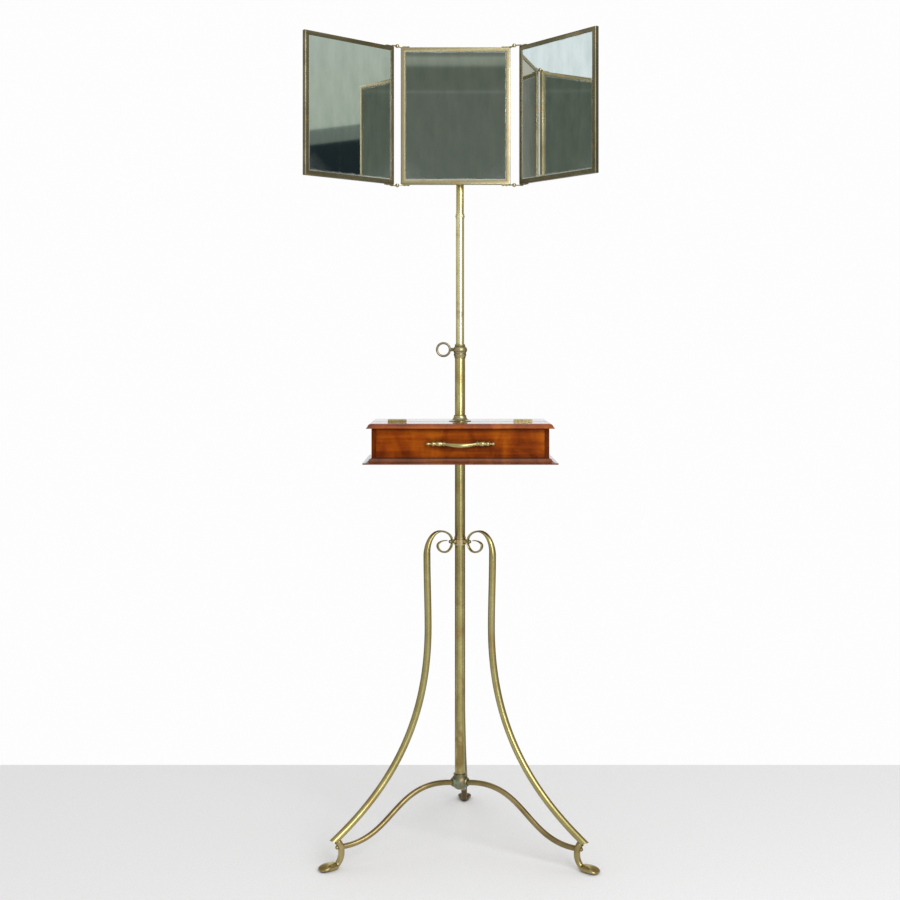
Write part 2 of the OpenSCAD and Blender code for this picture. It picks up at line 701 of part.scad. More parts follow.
module drawer_front() {
    z1 = drawer_foot_z;
    color(wood) difference() {
        translate([-drawer_x, front_y, z1]) cube([2 * drawer_x, front_t, case_top_z - wood_gap - z1]);
        for (x = [-1, 1]) translate([x * post_x, front_y - 1, case_floor_z + handle_z]) rotate([-90, 0, 0])
            cylinder(h = front_t + 2, r = 1.5 + seat, $fn = 32);
    }
}

module drawer_side(x1) {
    y1 = front_y + front_t;
    color(pale_wood) difference() {
        translate([x1, y1, drawer_foot_z])
            cube([drawer_side_t, drawer_back_y - y1, drawer_top_z - drawer_foot_z]);
        translate([0, y1, drawer_foot_z + 2]) translate([-drawer_x + 2.8, -1, 0])
            cube([2 * drawer_x - 5.6, drawer_back_y - y1 + 2, drawer_bottom_t + 2 * seat]);
    }
}

module drawer_side_left() { drawer_side(-drawer_x); }
module drawer_side_right() { drawer_side(drawer_x - drawer_side_t); }

module drawer_back() {
    z1 = drawer_foot_z + 2 + drawer_bottom_t + 2 * seat;
    x = drawer_x - drawer_side_t;
    color(pale_wood) translate([-x, drawer_back_y - drawer_back_t, z1])
        cube([2 * x, drawer_back_t, drawer_top_z - z1 - 2]);
}

// Thin board held in the grooves of the sides
module drawer_bottom() {
    y1 = front_y + front_t;
    color(pale_wood) translate([-drawer_x + 3, y1, drawer_foot_z + 2 + seat])
        cube([2 * drawer_x - 6, drawer_back_y - y1, drawer_bottom_t]);
}

// The grip's radius from its middle to its finial: distance along, and radius
grip = [[0, 4.9], [10, 4.7], [20, 4], [27, 3.3], [29, 3.4], [30, 4.9], [32, 5.1], [33.5, 3.5],
    [36, 4.4], [41, 5.8], [45, 4.2], [47, 3], [49, 4.2], [51.5, 4.9], [54, 4], [55.5, 2.2],
    [57, 2], [59, 3.2], [61, 3.6], [63, 2.9], [64.8, 1.6], [65.5, 0.6]];
grip_half = concat([for (i = [len(grip) - 1:-1:1]) [-grip[i][0], grip[i][1]]], grip);
grip_l = 2 * grip[len(grip) - 1][0];
bow_x = 31;
post_l = 7.5;
// Angle by which the bow of the grip hangs down
handle_droop = 22;

// How far the grip's middle line stands out from the front at x
function bow(x) = post_l + (abs(x) < bow_x ? (handle_out - grip[0][1] - post_l) * cos(90 * x / bow_x) : 0);

// Cast bar handle: posts with round feet, and a bowed grip between finials
module drawer_handle() {
    stretch = handle_l / grip_l;
    color(brass) translate([0, front_y, case_floor_z + handle_z]) difference() {
        union() {
            translate([0, -post_l, 0]) rotate([handle_droop, 0, 0]) rotate([90, 0, 0])
                swept([for (g = grip_half) [g[0] * stretch, bow(g[0]) - post_l]],
                    [for (g = grip_half) [g[1], g[1]]], 12);
            for (x = [-post_x, post_x]) translate([x, 0, 0]) rotate([90, 0, 0]) {
                cylinder(h = post_l, r = 3.4, $fn = 32);
                cylinder(h = 1.6, r1 = 4.8, r2 = 4.2, $fn = 48);
            }
        }
        for (x = [-post_x, post_x]) translate([x, 1, 0]) rotate([90, 0, 0])
            cylinder(h = 6, r = 1.5 + seat, $fn = 32);
        translate([-handle_l, 0, -20]) cube([2 * handle_l, 20, 40]);
    }
}

// Screws from inside the drawer into the handle's posts
module handle_screws() {
    color(dark_brass) for (x = [-post_x, post_x])
        translate([x, front_y + front_t, case_floor_z + handle_z]) rotate([-90, 0, 0])
            wood_screw(1.5, 3.4, front_t + 4);
}

module inner_pole() {
    color(brass) difference() {
        translate([0, 0, pole_foot_z]) cylinder(h = pole_top_z - pole_foot_z, r = pole_r, $fn = fine);
        translate([0, 0, pole_foot_z - eps])
            cylinder(h = pole_top_z - pole_foot_z + 2 * eps, r = pole_bore_r, $fn = fine);
    }
}

// Plug in the pole's foot that keeps it central in the column
module pole_guide() {
    color(dark_brass) translate([0, 0, pole_foot_z]) {
        cylinder(h = 14, r = pole_bore_r - seat, $fn = fine);
        translate([0, 0, -12]) cylinder(h = 12, r = column_bore_r - run, $fn = fine);
    }
}

// Bead at the pole's top
module pole_ferrule() {
    r = ferrule_r;
    color(brass) difference() {
        translate([0, 0, ferrule_foot_z]) rotate_extrude($fn = fine) polygon(concat(
            [[0, 0], [r - 0.7, 0], [r - 0.7, 1.2], [r - 1, 1.8]],
            arc([r - 2.4, 4.4], 2.4, 2.4, -60, 60, 8),
            [[r - 1, 7], [r - 0.8, 7.8], [r - 0.8, ferrule_h], [0, ferrule_h]]));
        translate([0, 0, ferrule_foot_z - eps])
            cylinder(h = pole_top_z - ferrule_foot_z + eps, r = pole_r + seat, $fn = fine);
        translate([0, 0, ferrule_foot_z])
            cylinder(h = ferrule_h + eps, r = pole_bore_r - run + 0.1, $fn = fine);
    }
}

// Stem behind the middle mirror: a spigot in the pole, and a flat tongue at the top
module head_stem() {
    z1 = ferrule_top_z + 0.2;
    flat_z = tilt_z - tongue_drop;
    color(brass) difference() {
        union() {
            translate([0, 0, z1 - spigot_l]) cylinder(h = spigot_l + 1, r = pole_bore_r - run, $fn = fine);
            translate([0, 0, z1]) cylinder(h = flat_z - z1, r = stem_r, $fn = fine);
            translate([ear_x + free / 2, -stem_r + 0.6, flat_z - 4])
                cube([ear_t, 2 * stem_r - 1.2, tongue_drop + 4]);
            translate([0, 0, tilt_z]) x_bar(ear_x + free / 2, ear_x + free / 2 + ear_t, ear_r - 2);
        }
        translate([0, 0, tilt_z]) x_bar(-20, 20, tilt_d / 2 + run);
    }
}

// Strap down the middle panel's back, with the ear of the tilt knuckle
module tilt_bracket() {
    y1 = -stand_off - bracket_t;
    color(brass) difference() {
        union() {
            translate([head_x - bracket_w / 2, y1, tilt_z - bracket_z / 2])
                cube([bracket_w, bracket_t, bracket_z]);
            translate([ear_x - ear_t, -stand_off - 1, tilt_z - ear_r])
                cube([ear_t, stand_off + 1, 2 * ear_r]);
            translate([0, 0, tilt_z]) x_bar(ear_x - ear_t, ear_x, ear_r);
        }
        translate([0, 0, tilt_z]) x_bar(ear_x - ear_t - 1, ear_x + 1, tilt_d / 2 + seat);
        for (p = bracket_holes) translate([p[0], -stand_off + 1, p[1]]) rotate([90, 0, 0])
            cylinder(h = bracket_t + 2, r = bracket_rivet_r + seat, $fn = 32);
    }
}

bracket_holes = [for (i = [-1, 1], k = [-1, 1])
    [head_x + i * bracket_rivet_x, tilt_z + k * (panel_h / 2 - bracket_rivet_in)]];

// Rivets that hold the strap to the back lips of the middle frame
module bracket_rivets() {
    color(dark_brass) for (p = bracket_holes) translate([p[0], -stand_off, p[1]]) rotate([-90, 0, 0])
        wood_screw(bracket_rivet_r, 2.6, bracket_t + channel_t);
}

// Screw through the ear and the tongue, with its head on the left
module tilt_screw() {
    color(dark_brass) translate([0, 0, tilt_z]) {
        x_bar(ear_x - ear_t - 1, ear_x + ear_t + 16, tilt_d / 2);
        translate([ear_x - ear_t - 3.6, 0, 0]) rotate([0, 90, 0])
            cylinder(h = 3.5, r1 = tilt_d / 2 + 1.6, r2 = tilt_d / 2 + 2.6, $fn = 48);
    }
}

// Wing nut that clamps the tilt
module tilt_nut() {
    x1 = ear_x + free / 2 + ear_t + 0.2;
    color(brass) translate([x1, 0, tilt_z]) difference() {
        union() {
            rotate([0, 90, 0]) cylinder(h = 9, r1 = 6.4, r2 = 4.8, $fn = 48);
            for (side = [-1, 1]) translate([6.4, 0, side * 9.6]) rotate([90, 0, 0])
                cylinder(h = 2.6, r = 5, center = true, $fn = 48);
            translate([2.4, -1.3, -9]) cube([6, 2.6, 18]);
        }
        x_bar(-1, 20, tilt_d / 2 + run);
    }
}

// Channel frame of a panel. Its lower left front corner is at the origin.
module panel_frame() {
    w = panel_w;
    h = panel_h;
    color(brass) difference() {
        cube([w, panel_t, h]);
        translate([frame_face, -1, frame_face]) cube([w - 2 * frame_face, panel_t + 2, h - 2 * frame_face]);
        translate([channel_t, channel_t, channel_t])
            cube([w - 2 * channel_t, panel_t - 2 * channel_t, h - 2 * channel_t]);
    }
}

module panel_glass() {
    edge = channel_t + free;
    color(glass) translate([edge, channel_t + seat, edge])
        cube([panel_w - 2 * edge, glass_t, panel_h - 2 * edge]);
}

module panel_board() {
    edge = channel_t + free;
    y1 = channel_t + glass_t + 2 * seat;
    color(dark_wood) translate([edge, y1, edge])
        cube([panel_w - 2 * edge, panel_t - channel_t - seat - y1, panel_h - 2 * edge]);
}

// Places its children where the middle panel stands
module at_centre() {
    translate([head_x - panel_w / 2, panel_front_y, panel_foot_z]) children();
}

// Places a wing: side -1 is the left one. Children are drawn as for the middle panel's corner.
module at_wing(side) {
    pivot = side < 0 ? left_pivot : right_pivot;
    gap = side < 0 ? left_gap : right_gap;
    angle = side < 0 ? left_angle : -right_angle;
    translate([pivot[0], pivot[1], 0]) rotate([0, 0, angle])
        translate([side < 0 ? -gap - panel_w : gap, panel_front_y - pivot[1], panel_foot_z]) children();
}

// The middle frame has holes for the bracket's rivets in its back lips
module centre_frame() {
    color(brass) difference() {
        at_centre() panel_frame();
        for (p = bracket_holes) translate([p[0], -stand_off - bracket_t - channel_t - seat, p[1]])
            rotate([-90, 0, 0]) cylinder(h = channel_t + 1, r = bracket_rivet_r + seat, $fn = 32);
    }
}

module centre_mirror() { at_centre() panel_glass(); }
module centre_board() { at_centre() panel_board(); }
module left_frame() { at_wing(-1) panel_frame(); }
module left_mirror() { at_wing(-1) panel_glass(); }
module left_board() { at_wing(-1) panel_board(); }
module right_frame() { at_wing(1) panel_frame(); }
module right_mirror() { at_wing(1) panel_glass(); }
module right_board() { at_wing(1) panel_board(); }

// A hinge strap seen from above. The pivot is at the origin, the panel lies towards +X, its edge
// at gap and its front face at back. A raised strap passes over the other one at the pivot.
module strap(gap, back, raised) {
    v1 = back + strap_inset;
    v2 = back + panel_t - strap_inset;
    arm = [[0, eye_r], [0, -0.2], [gap + 3, v1], [gap + 3, v2], [gap, v2]];
    difference() {
        union() {
            translate([0, 0, raised ? strap_step : 0]) linear_extrude(height = strap_t) {
                circle(r = eye_r, $fn = 48);
                polygon(arm);
            }
            if (raised) translate([gap + 1.5, v1, 0]) cube([1.5, v2 - v1, strap_step + strap_t]);
            translate([gap + (raised ? 1.5 : 0), v1, 0]) cube([strap_l, v2 - v1, strap_t]);
            for (k = [0.42, 0.8]) translate([gap + k * strap_l + 0.8, (v1 + v2) / 2, strap_t - 0.2])
                intersection() {
                    translate([0, 0, -1.6]) sphere(r = 3, $fn = 32);
                    cylinder(h = 3, r = 2.6, $fn = 32);
                }
        }
        translate([0, 0, -1]) cylinder(h = 2 * strap_t + 3, r = wing_pin_r + run, $fn = 32);
    }
}

// Both straps of a hinge edge, on the top and under the foot of a panel
module strap_pair(gap, back, raised) {
    translate([0, 0, panel_foot_z + panel_h]) strap(gap, back, raised);
    translate([0, 0, panel_foot_z]) mirror([0, 0, 1]) strap(gap, back, raised);
}

module centre_straps() {
    color(brass) {
        translate([left_pivot[0], left_pivot[1], 0])
            strap_pair(left_gap, panel_front_y - left_pivot[1], false);
        translate([right_pivot[0], right_pivot[1], 0]) mirror([1, 0, 0])
            strap_pair(right_gap, panel_front_y - right_pivot[1], false);
    }
}

module left_straps() {
    color(brass) translate([left_pivot[0], left_pivot[1], 0]) rotate([0, 0, left_angle])
        mirror([1, 0, 0]) strap_pair(left_gap, panel_front_y - left_pivot[1], true);
}

module right_straps() {
    color(brass) translate([right_pivot[0], right_pivot[1], 0]) rotate([0, 0, -right_angle])
        strap_pair(right_gap, panel_front_y - right_pivot[1], true);
}

// Domed pivot pin through both straps, at the top and the foot of each hinge
module wing_pivots() {
    top = strap_step + strap_t + 0.1;
    color(dark_brass) for (p = [left_pivot, right_pivot], foot = [0, 1])
        translate([p[0], p[1], panel_foot_z + (1 - foot) * panel_h]) mirror([0, 0, foot])
            rotate_extrude($fn = 32) {
                translate([0, -1.3]) square([2.6, 1.2]);
                translate([0, -0.5]) square([wing_pin_r, top + 1]);
                translate([0, top]) intersection() {
                    translate([0, -1.2]) circle(r = 3.6, $fn = 48);
                    square([3.4, 2.4]);
                }
            }
}

column();
hub();
leg_left();
leg_right();
leg_back();
stretcher_left();
stretcher_right();
stretcher_back();
foot_left();
foot_right();
foot_back();
foot_bolts();
scroll_collar();
scroll_bolts();
clamp_collar();
box_base();
box_side_left();
box_side_right();
box_back();
box_divider();
well_floor();
well_front();
box_top_rear();
top_flange();
bottom_flange();
stand_screws();
lid_hinge_plates();
lid();
lid_hinge_leaves();
lid_screws();
drawer_front();
drawer_side_left();
drawer_side_right();
drawer_back();
drawer_bottom();
drawer_handle();
handle_screws();
thumbscrew();
inner_pole();
pole_guide();
pole_ferrule();
head_stem();
tilt_nut();
tilt_bracket();
bracket_rivets();
tilt_screw();
centre_frame();
centre_mirror();
centre_board();
centre_straps();
wing_pivots();
left_frame();
left_mirror();
left_board();
left_straps();
right_frame();
right_mirror();
right_board();
right_straps();
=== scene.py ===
# %% [markdown]
# # A brass shaving mirror stand
#
# The object is a tripod of brass tube that carries a small mahogany box, a telescopic pole and three
# hinged mirrors. This script dresses its CAD model. It loads that model as a fixed frame, draws the bent
# and cast pieces again with smooth forms, and gives every piece its finish. All lengths are in metres, +Z
# is up, and the front looks along -Y.

# %% Load the frame
import bpy
import bmesh
import math
from mathutils import Matrix, Vector


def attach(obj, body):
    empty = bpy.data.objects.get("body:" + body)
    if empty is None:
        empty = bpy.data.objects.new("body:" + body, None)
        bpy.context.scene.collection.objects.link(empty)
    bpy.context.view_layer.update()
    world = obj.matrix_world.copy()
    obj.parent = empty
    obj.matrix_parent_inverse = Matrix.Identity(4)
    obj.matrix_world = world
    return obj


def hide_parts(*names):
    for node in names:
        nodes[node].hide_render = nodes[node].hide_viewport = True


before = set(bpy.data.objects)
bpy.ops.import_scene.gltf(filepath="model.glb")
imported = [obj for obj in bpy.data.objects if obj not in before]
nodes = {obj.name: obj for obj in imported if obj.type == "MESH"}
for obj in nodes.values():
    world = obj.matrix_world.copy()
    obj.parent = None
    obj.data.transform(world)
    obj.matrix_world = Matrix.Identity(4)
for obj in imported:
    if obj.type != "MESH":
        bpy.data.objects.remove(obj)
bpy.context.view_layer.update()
mm = 0.001

# %% [markdown]
# ## The camera
#
# The picture was taken from 2.7 m with a long lens, level, from a little above the box. Such a
# camera looks straight ahead, so upright lines stay upright, and the whole stand is brought into
# the frame by shifting the lens. A camera that is tilted instead would make the uprights meet.

# %% Set the camera
lens = bpy.data.cameras.new("camera")
lens.lens = 55.4
lens.sensor_width = 36
lens.shift_y = -0.1056
lens.clip_start = 0.05
lens.clip_end = 50
camera = bpy.data.objects.new("camera", lens)
camera.location = (-0.0195, -2.7, 0.9545)
camera.rotation_euler = (math.radians(90), 0, 0)
bpy.context.scene.collection.objects.link(camera)
bpy.context.scene.camera = camera
bpy.context.scene.view_settings.view_transform = "Standard"
print("camera at", tuple(round(c, 4) for c in camera.location), "lens", lens.lens, "mm")

# %% [markdown]
# ## Helpers for pieces
#
# Blender's operators act on whatever is selected, and the loaded nodes come in selected. So each
# piece starts with an empty selection. Faces, edges and corners are then picked by where they are,
# as a modeller would pick them with the mouse. Passing a test to one helper keeps that short.
# A modifier is applied as soon as it is set, so the mesh is what is seen.

# %% Define the helpers for pieces
def start():
    """Drops the selection, so that the next primitive stands alone"""
    if bpy.context.object and bpy.context.object.mode != "OBJECT":
        bpy.ops.object.mode_set(mode="OBJECT")
    bpy.ops.object.select_all(action="DESELECT")


def take(name):
    """Names the primitive that was just added"""
    piece = bpy.context.active_object
    piece.name = piece.data.name = name
    return piece


def pick(piece, kind, test):
    """In edit mode, selects the faces, edges or verts whose middle passes the test"""
    bpy.ops.mesh.select_mode(type={"faces": "FACE", "edges": "EDGE", "verts": "VERT"}[kind])
    bpy.ops.mesh.select_all(action="DESELECT")
    shape = bmesh.from_edit_mesh(piece.data)
    found = 0
    for part in getattr(shape, kind):
        corners = [part.co] if kind == "verts" else [v.co for v in part.verts]
        middle = sum(corners, Vector()) / len(corners)
        if test(part, middle):
            part.select_set(True)
            found += 1
    shape.select_flush_mode()
    bmesh.update_edit_mesh(piece.data)
    return found


def only(piece):
    """Makes a piece the only one that is selected"""
    start()
    piece.select_set(True)
    bpy.context.view_layer.objects.active = piece


def settle(piece, place=None):
    """Puts a piece in its place and writes the place into its mesh"""
    only(piece)
    if place is not None:
        piece.matrix_world = place @ piece.matrix_world
    bpy.ops.object.transform_apply(location=True, rotation=True, scale=True)


def copy_of(piece, name, place):
    """A copy with a mesh of its own, put in another place"""
    other = piece.copy()
    other.data = piece.data.copy()
    other.name = other.data.name = name
    bpy.context.scene.collection.objects.link(other)
    settle(other, place)
    return other


def modify(piece, kind, **settings):
    """Adds a modifier with its settings and applies it"""
    only(piece)
    step = piece.modifiers.new(kind.lower(), kind)
    for key, value in settings.items():
        setattr(step, key, value)
    bpy.ops.object.modifier_apply(modifier=step.name)


def smooth(piece, angle):
    """Smooth shading, with edges sharper than the angle kept"""
    only(piece)
    bpy.ops.object.shade_smooth_by_angle(angle=math.radians(angle))
    print(piece.name, len(piece.data.polygons), "faces")


print("helpers for pieces ready")

# %% [markdown]
# ## Helpers for finishes
#
# A finish is a small tree of nodes that ends in one surface shader. Noise at several sizes makes
# metal look handled and wood look grown. The patterns read Object coordinates, which here are
# metres in the shared frame, so a patch of tarnish keeps its real size on every piece.

# %% Define the finish helpers
def new_finish(name):
    """An empty material with its surface shader"""
    finish = bpy.data.materials.new(name)
    finish.use_nodes = True
    tree = finish.node_tree
    tree.nodes.clear()
    out = tree.nodes.new("ShaderNodeOutputMaterial")
    shader = tree.nodes.new("ShaderNodeBsdfPrincipled")
    tree.links.new(shader.outputs["BSDF"], out.inputs["Surface"])
    return finish, tree, shader


def feed(tree, socket, value):
    """Links a socket, or sets it"""
    if isinstance(value, bpy.types.NodeSocket):
        tree.links.new(value, socket)
    else:
        socket.default_value = value


def add(tree, kind, inputs, output=0, **settings):
    """A node with its inputs fed; gives one of its outputs"""
    node = tree.nodes.new("ShaderNode" + kind)
    for key, value in settings.items():
        setattr(node, key, value)
    for key, value in inputs.items():
        feed(tree, node.inputs[key], value)
    return node.outputs[output]


def noise(tree, where, scale, detail=3.0, rough=0.55, stretch=(1, 1, 1), warp=0.0):
    """A noise pattern, from 0 to 1, stretched along the axes"""
    place = add(tree, "Mapping", {"Vector": where, "Scale": stretch})
    return add(tree, "TexNoise", {"Vector": place, "Scale": scale, "Detail": detail,
                                  "Roughness": rough, "Distortion": warp})


def ramp(tree, value, stops):
    """Turns a value into a colour by stops of place and colour"""
    node = tree.nodes.new("ShaderNodeValToRGB")
    feed(tree, node.inputs[0], value)
    band = node.color_ramp
    while len(band.elements) < len(stops):
        band.elements.new(0.5)
    for stop, (place, colour) in zip(band.elements, stops):
        stop.position = place
        stop.color = (*colour, 1)
    return node.outputs[0]


def span(tree, value, low, high, to_low=0.0, to_high=1.0):
    """Stretches a value from one range to another, and stops at its ends"""
    return add(tree, "MapRange", {"Value": value, "From Min": low, "From Max": high,
                                  "To Min": to_low, "To Max": to_high})


def maths(tree, operation, a, b=0.0):
    """One step of arithmetic on two values"""
    return add(tree, "Math", {0: a, 1: b}, operation=operation)


def times(tree, a, b):
    return maths(tree, "MULTIPLY", a, b)


def shares(tree, *parts):
    """Adds up values, each multiplied by its share"""
    products = [times(tree, value, share) for value, share in parts]
    total = products[0]
    for product in products[1:]:
        total = maths(tree, "ADD", total, product)
    return total


def split(tree, vector):
    """The x, y and z of a place or a direction"""
    node = tree.nodes.new("ShaderNodeSeparateXYZ")
    feed(tree, node.inputs[0], vector)
    return node.outputs


def two_tone(tree, share, a, b):
    """Mixes two colours, each a colour or a socket"""
    node = tree.nodes.new("ShaderNodeMix")
    node.data_type = "RGBA"
    feed(tree, node.inputs[0], share)
    for i, colour in ((6, a), (7, b)):
        feed(tree, node.inputs[i], (*colour, 1) if isinstance(colour, tuple) else colour)
    return node.outputs[2]


def relief(tree, shader, height, strength, distance):
    """A bump on the surface; distance is in metres"""
    bump = add(tree, "Bump", {"Height": height, "Strength": strength, "Distance": distance})
    feed(tree, shader.inputs["Normal"], bump)


def painted_hollow_shade(tree, distance, closed, clear):
    """A mask for painted shade: 0.8 in corners and seams of that size, 0 where the surface is clear;
    distance is in metres
    """
    light = add(tree, "AmbientOcclusion", {"Distance": distance}, "AO", samples=6)
    return span(tree, light, closed, clear, 0.8, 0)


print("finish helpers ready")

# %% [markdown]
# ## Old brass
#
# The tubes were lacquered once. Now the lacquer has gone in patches, so pale gold shows where
# hands rub and olive brown where they don't. One function makes every brass here, from bright pole
# to dull casting, because it is the same metal at other ages. Two noises choose between the golds.
# Others lay rosy patches and dark specks over them, brown stains on the column, most of them just above
# the hub, and a green crust on old castings. Corners, seams and grooves, which ambient occlusion finds,
# are painted darker as shade. Below the box all of it is darker. A noise that is stretched long draws
# fine scratches.

# %% Define the brass
rose, brown, speck_tone = (0.38, 0.20, 0.075), (0.23, 0.15, 0.055), (0.12, 0.08, 0.03)
# The first of the next two tones is painted shade for corners and seams; verdigris is the green crust.
hollow_shade_tone, verdigris = (0.075, 0.055, 0.025), (0.15, 0.24, 0.185)
dark_below, full_above = 0.72, 0.86
hub_low, hub_high = 0.15, 0.38


def brass_finish(name, gold, olive, worn, dull, specks=0.5, green=0.0, cast=0.0, stain=0.0):
    """worn and dull are the roughness where it is bright and where it is tarnished; specks, green
    and stain are how strong those are, and cast is how rough the casting is"""
    finish, tree, shader = new_finish(name)
    where = add(tree, "TexCoord", {}, "Object")
    broad = noise(tree, where, 14, 4, 0.55, warp=0.6)
    close = noise(tree, where, 95, 4, 0.55)
    age = span(tree, shares(tree, (broad, 0.84), (close, 0.16)), 0.36, 0.64)
    colour = two_tone(tree, age, gold, olive)
    up = split(tree, where)[2]
    # Darker towards the bottom: below 0.72 m the tone is 0.62 of its own, rising to full at 0.86 m.
    low_darkening = span(tree, up, dark_below, full_above, 0.62, 1.0)
    colour = add(tree, "VectorMath", {0: colour, "Scale": low_darkening}, operation="SCALE")
    rosy = span(tree, noise(tree, where, 38, 3, 0.5, warp=0.4), 0.58, 0.72, 0, 0.4)
    colour = two_tone(tree, rosy, colour, rose)
    if stain:
        near_hub = span(tree, up, hub_low, hub_high, stain, 0.4 * stain)
        patches = noise(tree, where, 48, 3, 0.55, stretch=(1, 1, 0.6), warp=0.5)
        patches = span(tree, patches, 0.44, 0.62)
        colour = two_tone(tree, times(tree, near_hub, patches), colour, brown)
    dots = span(tree, noise(tree, where, 300, 2, 0.5), 0.67, 0.76, 0, specks)
    colour = two_tone(tree, dots, colour, speck_tone)
    # Corners, seams and grooves are painted darker here, as shade.
    colour = two_tone(tree, painted_hollow_shade(tree, 0.004, 0.35, 0.85), colour, hollow_shade_tone)
    rough = span(tree, age, 0, 1, worn, dull)
    if green:
        crust = span(tree, noise(tree, where, 75, 4, 0.6), 0.46, 0.62, 0, green)
        colour = two_tone(tree, crust, colour, verdigris)
        rough = maths(tree, "ADD", rough, times(tree, crust, 0.3))
        metal = maths(tree, "SUBTRACT", 1.0, times(tree, crust, 0.7))
    else:
        metal = 1.0
    feed(tree, shader.inputs["Metallic"], metal)
    feed(tree, shader.inputs["Base Color"], colour)
    feed(tree, shader.inputs["Roughness"], rough)
    scratches = noise(tree, where, 1, 2, 0.5, stretch=(1100, 1100, 40))
    dents = noise(tree, where, 150, 3, 0.5)
    bumps = shares(tree, (scratches, 0.3), (dents, 0.35 + 1.35 * cast))
    relief(tree, shader, bumps, 0.05 + 0.35 * cast, 0.00003 + 0.0003 * cast)
    return finish


print("brass ready")

# %% Mix the brasses
tube_brass = brass_finish("drawn tube brass", (0.75, 0.66, 0.29), (0.53, 0.455, 0.18), 0.25, 0.35, 0.2)
bright_brass = brass_finish("rubbed brass", (0.93, 0.89, 0.53), (0.76, 0.71, 0.35), 0.22, 0.30, 0.15)
dull_brass = brass_finish("dull brass", (0.50, 0.455, 0.27), (0.36, 0.325, 0.18), 0.26, 0.36, 0.3)
cast_brass = brass_finish("cast brass", (0.60, 0.51, 0.26), (0.36, 0.29, 0.13), 0.26, 0.42, 0.5, cast=1.0)
dark_brass = brass_finish("dark brass", (0.58, 0.46, 0.215), (0.31, 0.23, 0.095), 0.24, 0.36, 0.3)
# A darker brass that paints shade on the back leg, back stretcher and back foot.
back_shade_brass = brass_finish("back brass, painted shade", (0.27, 0.205, 0.10), (0.15, 0.11, 0.05), 0.30, 0.42, 0.4)
crusted_brass = brass_finish("crusted brass", (0.42, 0.38, 0.22), (0.22, 0.195, 0.11), 0.28, 0.46, 0.5,
                             green=0.85, cast=1.0)
frame_brass = brass_finish("channel brass", (0.44, 0.395, 0.245), (0.33, 0.285, 0.16), 0.26, 0.34, 0.05)
# A darker copy of the channel brass that paints shade on the wings' channels.
wing_shade_brass = brass_finish("wing channel brass, painted shade", (0.27, 0.24, 0.15), (0.17, 0.15, 0.085), 0.26, 0.34, 0.05)
grip_brass = brass_finish("grip brass", (0.62, 0.53, 0.24), (0.43, 0.35, 0.14), 0.25, 0.35, 0.2)
ring_brass = brass_finish("ring brass", (0.36, 0.315, 0.175), (0.24, 0.20, 0.10), 0.24, 0.34, 0.2)
collar_brass = brass_finish("collar brass", (1.0, 0.84, 0.46), (0.80, 0.62, 0.30), 0.22, 0.30, 0.1)
foot_brass = brass_finish("foot brass", (0.78, 0.66, 0.31), (0.40, 0.29, 0.11), 0.22, 0.32, 0.4)
column_brass = brass_finish("column brass", (0.75, 0.66, 0.29), (0.53, 0.455, 0.18), 0.25, 0.35, 0.2,
                            stain=0.85)
plate_brass = brass_finish("hinge brass", (0.62, 0.53, 0.29), (0.54, 0.45, 0.23), 0.30, 0.38, 0.0)
screw_brass = brass_finish("screw brass", (0.62, 0.50, 0.25), (0.36, 0.27, 0.11), 0.28, 0.44, 0.5)
print("brasses:", [m.name for m in bpy.data.materials if "brass" in m.name])

# %% [markdown]
# ## French-polished mahogany
#
# The wood is an orange red-brown with fine straight grain and a soft cross figure, under a thin clear
# polish that mirrors at a low angle. The grain runs along each board, so there is one finish for boards
# that run left to right and one for the sides. Sawn ends are darker, as end grain is, and corners and
# seams are painted darker as shade. The polish is the shader's coat, and along the joint between the lid
# and the top it is worn off.

# %% Mix the woods
def wood_finish(name, dark, mid, light, along="x", polish=1.0, coat_rough=0.06,
                base_rough=0.38, joint=None):
    """Tones from dark to light; along is the axis of the grain; joint is the y of a joint along
    which the polish is worn off"""
    finish, tree, shader = new_finish(name)
    place = add(tree, "TexCoord", {}, "Object")
    where = place
    if along == "y":
        where = add(tree, "Mapping", {"Vector": place, "Rotation": (0, 0, math.radians(90))})
    stripes = noise(tree, where, 1, 5, 0.6, stretch=(4, 95, 95), warp=0.25)
    figure = noise(tree, where, 1, 3, 0.55, stretch=(22, 12, 12), warp=0.8)
    pores = noise(tree, where, 1, 3, 0.6, stretch=(55, 1500, 1500))
    tone = shares(tree, (stripes, 0.40), (figure, 0.48), (pores, 0.12))
    colour = ramp(tree, tone, [(0.38, dark), (0.50, mid), (0.62, light)])
    fleck = span(tree, pores, 0.60, 0.72, 0, 0.5)
    colour = two_tone(tree, fleck, colour, tuple(c * 0.4 for c in dark))
    facing = split(tree, add(tree, "TexCoord", {}, "Normal"))[along.upper()]
    sawn = span(tree, maths(tree, "ABSOLUTE", facing), 0.8, 0.95, 0, 0.7)
    # Sawn ends are darker, as end grain is; corners and seams are painted darker, as shade.
    for shade in (sawn, painted_hollow_shade(tree, 0.012, 0.45, 0.95)):
        colour = two_tone(tree, shade, colour, tuple(c * 0.5 for c in dark))
    feed(tree, shader.inputs["Base Color"], colour)
    rough = span(tree, stripes, 0.3, 0.7, base_rough, base_rough + 0.12)
    feed(tree, shader.inputs["Roughness"], rough)
    coat = polish
    if joint is not None:
        away = maths(tree, "ABSOLUTE", maths(tree, "SUBTRACT", split(tree, place)[1], joint))
        coat = span(tree, away, 0.004, 0.009, polish * 0.25, polish)
    feed(tree, shader.inputs["Coat Weight"], coat)
    shader.inputs["Coat Roughness"].default_value = coat_rough
    shader.inputs["Coat IOR"].default_value = 1.52
    shader.inputs["Specular IOR Level"].default_value = 0.03
    relief(tree, shader, maths(tree, "ADD", pores, times(tree, stripes, 0.5)), 0.12, 0.0002)
    return finish


